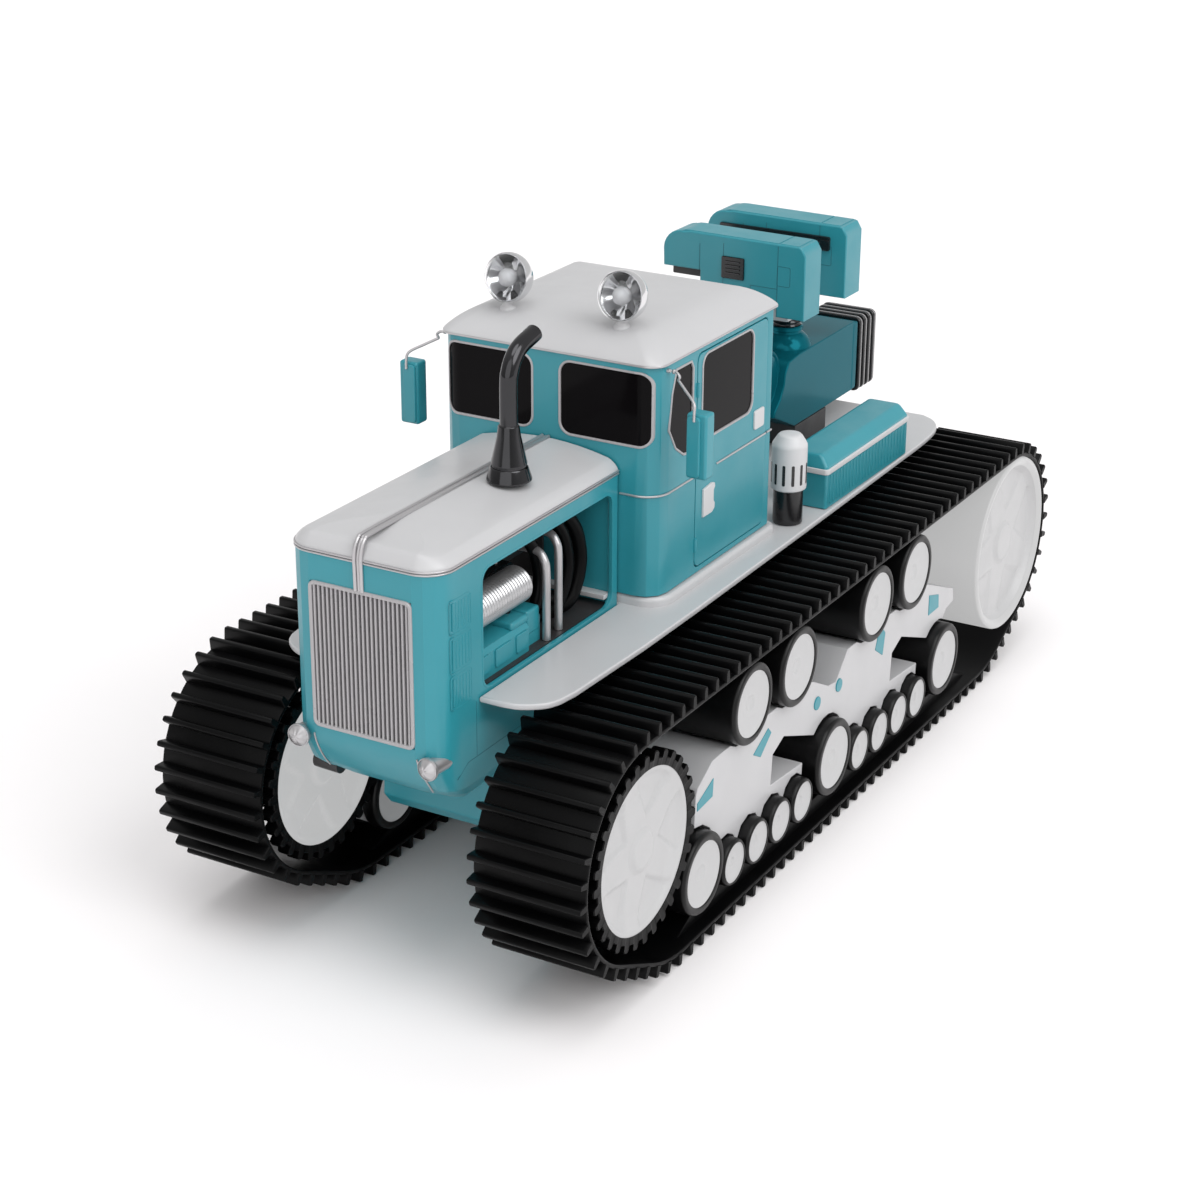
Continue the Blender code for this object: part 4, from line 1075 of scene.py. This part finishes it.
def make_doors():
    """Doors with a softened skin, framed pane, waist strip, handle covers, inner card and hinges."""
    both("door_skin", softened("door_left", 0.0003), TEAL, "door_{}", "door_{}", sharp=35)
    window(DOOR_PANE, CAB_HALF, ALONG_X, "door_{}", "door", True)
    face = CAB_HALF - 0.0003
    waist = panel((-0.0400, 0.1491), (0.0003, 0.1499), 0.0003, 3, face, CAB_HALF + 0.0005, ALONG_X, 0.0002)
    both("door_strip", waist, SATIN, "door_{}")
    handle = [(-0.0507, 0.1318), (-0.0440, 0.1318), (-0.0420, 0.1330), (-0.0418, 0.1350), (-0.0428, 0.1362)]
    handle += [(-0.0428, 0.1402), (-0.0418, 0.1414), (-0.0420, 0.1428), (-0.0440, 0.1434), (-0.0507, 0.1426)]
    large = slab(handle, face, CAB_HALF + 0.0009, ALONG_X, 0.0003)
    small = panel((-0.0100, 0.1535), (-0.0020, 0.1610), 0.0010, 3, face, CAB_HALF + 0.0007, ALONG_X)
    both("door_covers", joined(large, small), BRIGHT, "door_{}")
    inner = CAB_HALF - 0.0021
    card = panel((-0.0520, 0.1160), (-0.0030, 0.1560), 0.004, 6, inner - 0.0008, inner + 0.0002, ALONG_X)
    both("door_card", card, CHARCOAL, "door_{}")
    barrel = [(0, 0.0028), (0.0007, 0.0026), (0.0008, 0), (0.0007, -0.0026), (0, -0.0028)]
    barrels = [turned(barrel, 14, shift(CAB_HALF + 0.0002, -0.0558, z)) for z in (0.1225, 0.1820)]
    both("door_hinges", joined(*barrels), TEAL, "door_{}")


def make_exhaust():
    """Stepped base, tapered sleeve and a stack that leans back to an open end."""
    x, y, z = 0.0129, -0.1315, 0.1655
    base = [(0.0074, 0.0002), (0.0079, 0.0005), (0.0079, 0.0010), (0.0067, 0.0048), (0.0063, 0.0052)]
    base += [(0.0060, 0.0052), (0.0060, 0.0058), (0.0063, 0.0060), (0.0063, 0.0066), (0.0042, 0.0160)]
    base += [(0.0037, 0.0196), (0.0033, 0.0200), (0.0030, 0.0201)]
    lean = ((0, 0.1790), (0, 0.1990), (0.0008, 0.2040), (0.0034, 0.2082), (0.0080, 0.2112), (0.0170, 0.2135))
    stack = tube([(x, y + back, height) for back, height in lean], 0.0031, 24, 8, hollow=0.006)
    foot = turned(base, 48, shift(x, y, z))
    piece("exhaust", joined(foot, stack), GUNMETAL, replaces=("exhaust_stack",), sharp=40)


def side_block(side, near, far, low, high, edge):
    """A block from near to far on one side; low and high are its corners in y and z."""
    x0, x1 = sorted((side * near, side * far))
    return block((x0, *low), (x1, *high), edge, 3)


def make_engine():
    """Teal block with raised covers under a black rocker cover with bolts."""
    profile = symmetric([(0.0258, 0.1079), (0.0258, 0.1168), (0.0245, 0.1184), (0.0215, 0.1190)])
    parts = [slab(profile, -0.1790, -0.1400, ALONG_Y, 0.0004)]
    parts.append(slab([(u * 0.92, v) for u, v in profile], -0.1400, -0.1292, ALONG_Y, 0.0004))
    for side in (1, -1):
        near, far = sorted((side * 0.0256, side * 0.0264))
        for low, high in ((-0.1765, -0.1660), (-0.1625, -0.1520), (-0.1490, -0.1415)):
            parts.append(panel((low, 0.1098), (high, 0.1166), 0.0010, 3, near, far, ALONG_X, 0.0004))
        parts.append(side_block(side, 0.0130, 0.0250, (-0.1500, 0.1180), (-0.1390, 0.1212), 0.0012))
        parts.append(side_block(side, 0.0150, 0.0240, (-0.1385, 0.1120), (-0.1300, 0.1212), 0.0010))
    rocker = symmetric([(0.0088, 0.1170), (0.0088, 0.1270), (0.0060, 0.1300)])
    piece("rocker_cover", slab(rocker, -0.1735, -0.1190, ALONG_Y, 0.0008), BLACK)
    piece("engine_casing", joined(*parts), TEAL, replaces=("engine_block",), sharp=35)
    bolt = [(0.0016, 0), (0.0016, 0.0010), (0.0008, 0.0014), (0, 0.0014)]
    bolts = [turned(bolt, 6, shift(0, y, 0.1299)) for y in (-0.1700, -0.1540, -0.1380, -0.1220)]
    piece("rocker_bolts", joined(*bolts), CHROME, sharp=30)
    make_air_hoses()
    make_pipes()


def make_air_hoses():
    """Corrugated hoses that lie along the top of the block, on two stems each."""
    ridges = 30
    pitch = 0.0490 / ridges
    profile = [(0, 0), (0.0052, 0), (0.0060, 0.0004)]
    for ridge in range(ridges):
        for share, radius in ((0.05, 0.0064), (0.35, 0.0068), (0.6, 0.0068), (0.9, 0.0064)):
            profile.append((radius, pitch * (ridge + share)))
    profile += [(0.0060, 0.0492), (0, 0.0494)]
    along = Matrix.Rotation(math.radians(90), 4, "X")
    for word, side in SIDES:
        stands = ("intake_hose",) if side > 0 else ()
        hose = turned(profile, 40, shift(side * 0.0175, -0.1345, 0.1294) @ along)
        piece(f"air_hose_{word}", hose, FOIL, replaces=stands, sharp=70)
    stems = [tube([(0.0175, y, 0.1240), (0.0175, y, 0.1180)], 0.0018, 14, 0) for y in (-0.1650, -0.1420)]
    both("hose_brackets", joined(*stems), GUNMETAL)


def make_pipes():
    """Bright cooling pipes that bend inward, and black hoses behind the block."""
    pipes = []
    for x, y, top in ((0.0262, -0.1292, 0.1395), (0.0250, -0.1190, 0.1425)):
        route = [(x, y, 0.1081), (x, y, 0.1200), (x, y, top - 0.0060), (x - 0.0010, y + 0.0002, top - 0.0018)]
        route.append((x - 0.0035, y + 0.0006, top + 0.0006))
        route += [(x - 0.0080, y + 0.0010, top + 0.0010), (x - 0.0150, y + 0.0010, top + 0.0008)]
        pipes.append(tube(route, 0.0015, 16, 6))
    both("cooling_pipes", joined(*pipes), SATIN)
    bend = [(-0.0100, -0.0230, 0.1530), (-0.0060, -0.0160, 0.1520), (-0.0020, -0.0085, 0.1478)]
    bend += [(0, -0.0030, 0.1405), (0.0004, -0.0002, 0.1320), (0.0004, 0, 0.1250)]
    bend += [(0, -0.0024, 0.1180), (-0.0010, -0.0060, 0.1130), (-0.0060, -0.0110, 0.1095)]
    hoses = []
    for x, y, radius in ((0.0220, -0.0998, 0.0026), (0.0205, -0.1062, 0.0024), (0.0200, -0.1250, 0.0022)):
        hoses.append(tube([(x + across, y + forward, z) for across, forward, z in bend], radius, 18, 7))
    both("engine_hoses", joined(*hoses), RUBBER)


def lamp_dish(r, angle):
    """The bowl of a roof lamp, with flat sectors between its hub and rim."""
    bowl = 0.0046 * (r / 0.0078) ** 2
    return bowl - 0.0046 + 0.00045 * math.cos(5 * angle + 0.6) * smooth_step((r - 0.0018) / 0.0030)


def make_roof_lamps():
    """Bright balls with a sectored bowl, black sectors in it that paint dark reflections, a bulb and a clear
    domed front, on small white feet.
    """
    base, centre, radius = 0.2066, 0.0112, 0.0092
    tilt = shift(0, 0, centre) @ Matrix.Rotation(math.radians(78), 4, "X")
    shell = arc(0, 0, radius, 10, -85, 19)[:-1] + [(0, -radius)]
    mouth = [(0.0080, 0.0012), (0.0084, 0.0019), (0.0089, 0.0020)]
    dome = [(0, 0.0088), (0.0020, 0.0085), (0.0042, 0.0074), (0.0060, 0.0060), (0.0074, 0.0043)]
    dome += [(0.0082, 0.0026), (0.0085, 0.0018), (0.0082, 0.0016), (0.0071, 0.0038), (0.0057, 0.0056)]
    dome += [(0.0040, 0.0069), (0.0020, 0.0078), (0, 0.0081)]
    bulb = [(0, 0.0040), (0.0018, 0.0035), (0.0030, 0.0022), (0.0034, 0.0004), (0.0030, -0.0014)]
    bulb += [(0.0019, -0.0032), (0.0014, -0.0044)]
    foot = [(0.0030, -0.0006), (0.0030, 0.0002), (0.0024, 0.0008), (0.0019, 0.0014), (0.0018, 0.0030)]
    # Black sectors inside the chrome bowl: painted dark reflections.
    painted_dark_reflections = []
    for turn, width, inner in ((100, 24, 0.0042), (-112, 9, 0.0058), (-62, 12, 0.0050)):
        sector = arc(0, 0, inner, turn - width * 0.55, turn + width * 0.55, 6)
        sector += arc(0, 0, 0.0078, turn + width, turn - width, 8)
        painted_dark_reflections.append(slab(sector[::-1], -0.0006, 0.0004, ALONG_Z, 0.0001))
    kinds = (
        ("ball", turned(mouth + shell, 56, tilt), CHROME, 60, True),
        ("foot", turned(foot, 32), WHITE, 50, True),
        ("bowl", moved(dished(0.0082, lamp_dish, 16, 80), tilt), CHROME, 30, False),
        ("bulb", turned(bulb, 28, tilt), BRIGHT, 60, True),
        ("painted_dark_reflections", moved(joined(*painted_dark_reflections), tilt), BLACK, 60, True),
        ("dome", turned(dome, 48, tilt), LAMP_GLASS, 60, True),
    )
    for word, side in SIDES:
        body = f"roof_lamp_{word}"
        for kind, mesh, material, sharp, weigh in kinds:
            stands = (body,) if kind == "ball" else ()
            place = shift(side * 0.0236, -0.0725, base)
            piece(f"lamp_{kind}_{word}", mesh.copy(), material, body, stands, sharp, weigh, place)


def make_mirrors():
    """Tall housings with a framed front, a mirror face behind, and a bent wire arm on a knuckle."""
    shell = block((0.0560, -0.0841, 0.1595), (0.0640, -0.0777, 0.1835), 0.0010, 3)
    front = panel((0.0566, 0.1604), (0.0618, 0.1826), 0.0014, 4, -0.0852, -0.0838, ALONG_Y, 0.0006)
    both("mirror_housing", joined(shell, front), TEAL, "mirror_{}", "mirror_{}")
    glass = panel((0.0567, 0.1603), (0.0633, 0.1827), 0.0010, 3, -0.0779, -0.0773, ALONG_Y, 0.0002)
    both("mirror_glass", glass, CHROME, "mirror_{}")
    pivot = (0.0476, -0.0779, 0.1953)
    route = [pivot, (0.0492, -0.0785, 0.1952), (0.0504, -0.0790, 0.1941), (0.0499, -0.0787, 0.1928)]
    route += [(0.0508, -0.0793, 0.1922), (0.0545, -0.0816, 0.1902), (0.0582, -0.0839, 0.1882)]
    route += [(0.0596, -0.0850, 0.1866), (0.0598, -0.0855, 0.1840), (0.0598, -0.0856, 0.1812)]
    ball = [(0, 0.0009), (0.0006, 0.0007), (0.0009, 0), (0.0006, -0.0007), (0, -0.0009)]
    knuckle = turned(ball, 20, shift(*pivot))
    both("mirror_arm", joined(tube(route, 0.0005, 10, 5), knuckle), SATIN, "mirror_{}")
    socket = [(0, 0.0009), (0.0006, 0.0008), (0.0008, 0.0002), (0.0008, -0.0008)]
    both("mirror_bracket", turned(socket, 20, shift(CAB_HALF, pivot[1], pivot[2]) @ Z_TO_X), SATIN)


def make_air_cleaner():
    """Black canister under a domed white cap with upright slots."""
    place = shift(0.0468, 0.0200, DECK_TOP_Z)
    can = [(0, 0.0003), (0.0056, 0.0003), (0.0059, 0.0008), (0.0059, 0.0170), (0, 0.0170)]
    piece("air_cleaner_can", turned(can, 48, place), BLACK, sharp=40)
    cap = [(0.0050, 0.0147), (0.0064, 0.0143), (0.0069, 0.0147), (0.0070, 0.0155), (0.0070, 0.0316)]
    cap += [(0.0069, 0.0325), (0.0065, 0.0333), (0.0049, 0.0358), (0.0043, 0.0364)]
    cap += [(0.0034, 0.0367), (0, 0.0368)]
    piece("air_cleaner_cap", turned(cap, 56, place), BRIGHT, replaces=("air_cleaner",), sharp=40)
    slot = panel((-0.0006, 0.0170), (0.0006, 0.0254), 0.0004, 3, -0.00705, -0.0066, ALONG_Y, 0)
    count = 12
    turns = [Matrix.Rotation(2 * math.pi * (i + 0.3) / count, 4, "Z") for i in range(count)]
    piece("air_cleaner_slots", joined(*[moved(slot, place @ turn) for turn in turns]), BLACK)


def make_side_box():
    """Locker with ribbed sides, a light trim and a chamfered lid."""
    x0, x1, y0, y1 = 0.0340, 0.0545, 0.0390, 0.1185
    bottom, trim = DECK_TOP_Z + 0.0002, 0.1219
    outline = rounded_rectangle((x0, y0), (x1, y1), 0.0012, 3)
    parts = [slab(outline, bottom, trim, ALONG_Z, 0.0005)]
    for i in range(24):
        y = 0.0420 + 0.00315 * i
        low, high = (y, bottom + 0.0018), (y + 0.0016, trim - 0.0006)
        parts.append(panel(low, high, 0.0004, 2, 0.0543, 0.0548, ALONG_X))
    rims = []
    levels = ((0, 0, trim + 0.0019), (0, 0, 0.1247), (0.0004, 0.0003, 0.1254), (0.0026, 0.0012, 0.1284))
    levels += ((0.0034, 0.0018, 0.1292), (0.0046, 0.0030, 0.1295))
    for dx, dy, z in levels:
        rim = rounded_rectangle((x0 + dx, y0 + dy), (x1 - dx, y1 - dy), 0.0016, 4)
        rims.append([(x, y, z) for x, y in rim])
    parts.append(lofted(rims))
    piece("side_box_body", joined(*parts), TEAL, replaces=("side_box",), sharp=35)
    band = slab(grown(outline, 0.0006), trim - 0.0001, trim + 0.0022, ALONG_Z, 0.0004)
    piece("side_box_trim", band, BRIGHT)


def make_turret():
    """Pedestal, metallic body with flange, ribbed bellows, drum and neck, and the head with its two pods."""
    piece("turret_foot", softened("turret_pedestal", 0.0006), CHARCOAL, replaces=("turret_pedestal",))
    make_turret_body("turret_body", 0.0118)
    make_turret_drum("turret_body")
    make_turret_neck("turret_body")
    make_turret_head("turret_head")


def make_turret_body(body, half):
    """The shell, the flange behind it, and black bellows with bright-edged ribs."""
    side = [(0.1560, 0.1490), (0.1560, 0.1178), (0.0980, 0.1178), (0.0780, 0.1270), (0.0790, 0.1296)]
    side += [(0.0835, 0.1336), (0.0868, 0.1390), (0.0875, 0.1433), (0.0910, 0.1480), (0.1010, 0.1490)]
    piece("turret_shell", slab(side, -half, half, ALONG_X, 0.0006, 3), TEAL_METALLIC, body, (body,), 35)
    wide = half + 0.0002
    flange = panel((0.1540, 0.1182), (0.1590, 0.1486), 0.0012, 3, -wide, wide, ALONG_X, 0.0008)
    piece("turret_flange", flange, TEAL_METALLIC, body, sharp=35)
    bellows = block((-half + 0.0006, 0.1585, 0.1186), (half - 0.0006, 0.1760, 0.1482), 0.0012)
    piece("turret_bellows", bellows, BLACK, body)
    outline = rounded_rectangle((-half - 0.0004, 0.1166), (half + 0.0004, 0.1491), 0.0022, 5)
    ribs, edges = [], []
    for y in (0.1612, 0.1658, 0.1704, 0.1750):
        ribs.append(strip(outline, (-0.0024, 0.0006), (-0.0015, 0.0015), 0.0008, ALONG_Y, -y, steps=4))
        edges.append(strip(outline, (0.0004, 0.0007), (-0.0002, 0.0002), 0.0001, ALONG_Y, -y, steps=2))
    piece("turret_ribs", joined(*ribs), BLACK, body, sharp=60)
    piece("turret_rib_edges", joined(*edges), SATIN, body, sharp=60)


def make_turret_drum(body):
    """A finned drum across the front of the body, with a ring and a cap at both ends."""
    place = shift(0, 0.0755, 0.1430) @ Z_TO_X
    core = [(0, -0.0084), (0.0112, -0.0084), (0.0120, -0.0080)]
    parts = [turned(core + [(r, -w) for r, w in reversed(core)], 48, place)]
    fin = [(0.0118, -0.0004), (0.0128, -0.0003), (0.0130, 0), (0.0128, 0.0003), (0.0118, 0.0004)]
    for i in range(8):
        middle = -0.0072 + 0.0144 * i / 7
        parts.append(turned([(r, middle + w) for r, w in fin], 48, place))
    piece("turret_drum", joined(*parts), TEAL_METALLIC, body, sharp=40)
    ring = [(0.0112, 0.0080), (0.0119, 0.0087), (0.0129, 0.0087), (0.0131, 0.0080)]
    cap = [(0, 0.0086), (0.0030, 0.0086), (0.0036, 0.0080)]
    ends = []
    for half, steps in ((ring, 48), (cap, 32)):
        for side in (1, -1):
            ends.append(turned([(r, side * w) for r, w in half], steps, place))
    piece("drum_rings", joined(*ends), TEAL_METALLIC, body, sharp=50)


def make_turret_neck(body):
    """A flattened dome under a neck of two beads."""
    place = shift(0, TURRET_Y, 0)
    dome = [(0.0112, 0.1488), (0.0108, 0.1500), (0.0098, 0.1520), (0.0080, 0.1538), (0.0066, 0.1546)]
    dome += [(0.0066, 0.1556), (0.0072, 0.1560), (0.0072, 0.1572), (0.0064, 0.1576)]
    piece("neck_dome", turned(dome, 48, place), TEAL_METALLIC, body, sharp=50)
    neck = [(0.0060, 0.1574), (0.0064, 0.1580), (0.0060, 0.1586), (0.0060, 0.1590)]
    neck += [(0.0064, 0.1596), (0.0060, 0.1602), (0.0058, 0.1611), (0, 0.1611)]
    piece("neck_rings", turned(neck, 40, place), GUNMETAL, body, sharp=50)


def make_turret_head(head):
    """Two long pods on a yoke, with raised covers, seams, a vent and a rail."""
    pod = [(0.0203, 0.1680), (0.0203, 0.1950), (0.0182, 0.1984), (0.0170, 0.1987), (-0.0330, 0.1990)]
    pod += arc(-0.0370, 0.1905, 0.0082, 80, 178, 7)
    pod += [(-0.0450, 0.1830), (-0.0279, 0.1830), (-0.0279, 0.1720), (0.0075, 0.1720), (0.0075, 0.1680)]
    pods = [slab(pod, y - POD_HALF, y + POD_HALF, ALONG_Y, 0.0007, 3) for y in (POD_FRONT_Y, POD_REAR_Y)]
    piece("turret_pods", joined(*pods), TEAL, head, (head,), 35)
    yoke = block((-0.0088, POD_FRONT_Y + 0.0070, 0.1617), (0.0063, POD_REAR_Y - 0.0070, 0.1798), 0.0010)
    piece("turret_yoke", yoke, BRIGHT, head)
    long_cover = [(0.0078, 0.1983), (0.0078, 0.1990), (-0.0330, 0.1993), (-0.0352, 0.1992), (-0.0380, 0.1985)]
    long_cover += [(-0.0402, 0.1972), (-0.0418, 0.1957), (-0.0416, 0.1952), (-0.0398, 0.1965)]
    long_cover += [(-0.0376, 0.1978), (-0.0350, 0.1984), (-0.0330, 0.1985)]
    short_cover = [(0.0084, 0.1984), (0.0168, 0.1983), (0.0168, 0.1989), (0.0084, 0.1990)]
    upright = [(-0.0280, 0.1832, 0.1945), (-0.0170, 0.1722, 0.1960)]
    upright += [(-0.0043, 0.1722, 0.1800), (0.0079, 0.1682, 0.1980)]
    lid = rounded_rectangle((0.0079, 0.1815), (0.0135, 0.1895), 0.0006, 2)
    covers, seams, feet = [], [], []
    for y in (POD_FRONT_Y, POD_REAR_Y):
        for cover in (long_cover, short_cover):
            covers.append(slab(cover, y - POD_HALF + 0.0009, y + POD_HALF - 0.0009, ALONG_Y, 0.0002))
        for face in (y - POD_HALF, y + POD_HALF):
            near, far = face - 0.00008, face + 0.00008
            for x, low, high in upright:
                seams.append(block((x - 0.00012, near, low), (x + 0.00012, far, high), 0.00002, 1))
            seams.append(block((-0.0043, near, 0.17990), (0.0078, far, 0.18012), 0.00002, 1))
            seams.append(strip(lid, (0, 0.0002), (-0.00008, 0.00008), 0.00003, ALONG_Y, -face))
        near, far = y - POD_HALF + 0.0018, y + POD_HALF - 0.0018
        feet.append(block((-0.0415, near, 0.1797), (-0.0275, far, 0.1833), 0.0005))
    front, rear = POD_FRONT_Y - POD_HALF, POD_REAR_Y - POD_HALF
    vent = panel((-0.0176, 0.1815), (-0.0072, 0.1908), 0.0006, 3, front - 0.0007, front + 0.0002, ALONG_Y)
    rail = panel((-0.0387, 0.1912), (0.0130, 0.1938), 0.0008, 3, rear - 0.0012, rear + 0.0002, ALONG_Y)
    catch = panel((0.0085, 0.1878), (0.0130, 0.1925), 0.0008, 3, rear - 0.0016, rear + 0.0002, ALONG_Y)
    fins = []
    for z in (0.1840, 0.1856, 0.1872, 0.1888):
        low, high = (-0.0158, z - 0.0003), (-0.0090, z + 0.0003)
        fins.append(panel(low, high, 0.0002, 2, front - 0.0011, front - 0.0005, ALONG_Y, 0.0001))
    piece("pod_covers", joined(*covers), TEAL, head)
    piece("pod_seams", joined(*seams), TEAL_DARK, head, weigh=False)
    piece("pod_vent", joined(vent, rail, catch), BLACK, head)
    piece("pod_vent_fins", joined(*fins), GUNMETAL, head)
    piece("pod_feet", joined(*feet), CHARCOAL, head)


# Studio


def make_floor():
    """A pale studio floor just below the tracks."""
    bm = bmesh.new()
    bmesh.ops.create_grid(bm, x_segments=40, y_segments=40, size=40)
    mesh = mesh_from(bm, shift(0, 0, -0.0002))
    paper = finish("studio_floor", (0.965, 0.945, 0.95), 0.9, spread=0.004, grain=30.0, specular=0.1)
    mesh.materials.append(paper)
    floor = bpy.data.objects.new("floor", mesh)
    bpy.context.scene.collection.objects.link(floor)


def add_sun(name, azimuth, elevation, strength, angle):
    """A soft distant light; its azimuth is 0 from the nose and 90 from the tractor's left."""
    data = bpy.data.lights.new(name, "SUN")
    data.energy = strength
    data.angle = math.radians(angle)
    light = bpy.data.objects.new(name, data)
    a, e = math.radians(azimuth), math.radians(elevation)
    toward = Vector((math.sin(a) * math.cos(e), -math.cos(a) * math.cos(e), math.sin(e)))
    light.rotation_euler = toward.to_track_quat("Z", "Y").to_euler()
    light.location = toward
    bpy.context.scene.collection.objects.link(light)


def make_light():
    """A white studio, dimmer toward the nose, with a key from the tractor's left, a top light and a fill."""
    world = bpy.data.worlds.new("studio")
    world.use_nodes = True
    nodes, links = world.node_tree.nodes, world.node_tree.links
    background = nodes["Background"]
    place = nodes.new("ShaderNodeTexCoord").outputs["Generated"]
    split = nodes.new("ShaderNodeSeparateXYZ")
    links.new(place, split.inputs["Vector"])
    spread = nodes.new("ShaderNodeMapRange")
    for name, value in (("From Min", -0.9), ("From Max", 0.5), ("To Min", 0.25), ("To Max", 0.64)):
        spread.inputs[name].default_value = value
    total = nodes.new("ShaderNodeMath")
    links.new(split.outputs["Y"], total.inputs[0])
    links.new(split.outputs["Z"], total.inputs[1])
    links.new(total.outputs["Value"], spread.inputs["Value"])
    links.new(spread.outputs["Result"], background.inputs["Strength"])
    background.inputs["Color"].default_value = (1, 1, 1, 1)
    bpy.context.scene.world = world
    add_sun("key", 80, 42, 1.35, 45)
    add_sun("top", 20, 78, 0.65, 35)
    add_sun("fill", 12, 20, 0.80, 60)


def make_camera():
    """The photo's camera, with a slight roll."""
    azimuth, elevation, roll = math.radians(29.764), math.radians(22.594), math.radians(0.297)
    right = Vector((math.cos(azimuth), math.sin(azimuth), 0))
    level = Vector((math.sin(azimuth), -math.cos(azimuth), 0))
    back = level * math.cos(elevation) + Vector((0, 0, math.sin(elevation)))
    up = back.cross(right)
    x = right * math.cos(roll) + up * math.sin(roll)
    y = up * math.cos(roll) - right * math.sin(roll)
    data = bpy.data.cameras.new("camera")
    data.lens = 76.92
    data.sensor_width = 36
    data.clip_start = 0.01
    camera = bpy.data.objects.new("camera", data)
    turn = Matrix((x, y, back)).transposed().to_4x4()
    camera.matrix_world = shift(0.4505, -0.83364, 0.46518) @ turn
    bpy.context.scene.collection.objects.link(camera)
    bpy.context.scene.camera = camera


make_belts()
make_sprockets()
make_idlers()
make_rollers()
make_frames()
make_hull()
make_deck()
make_housing()
make_hood()
make_headlights()
make_cab()
make_doors()
make_exhaust()
make_engine()
make_roof_lamps()
make_mirrors()
make_air_cleaner()
make_side_box()
make_turret()
make_floor()
make_light()
make_camera()
bpy.context.scene.view_settings.view_transform = "Standard"
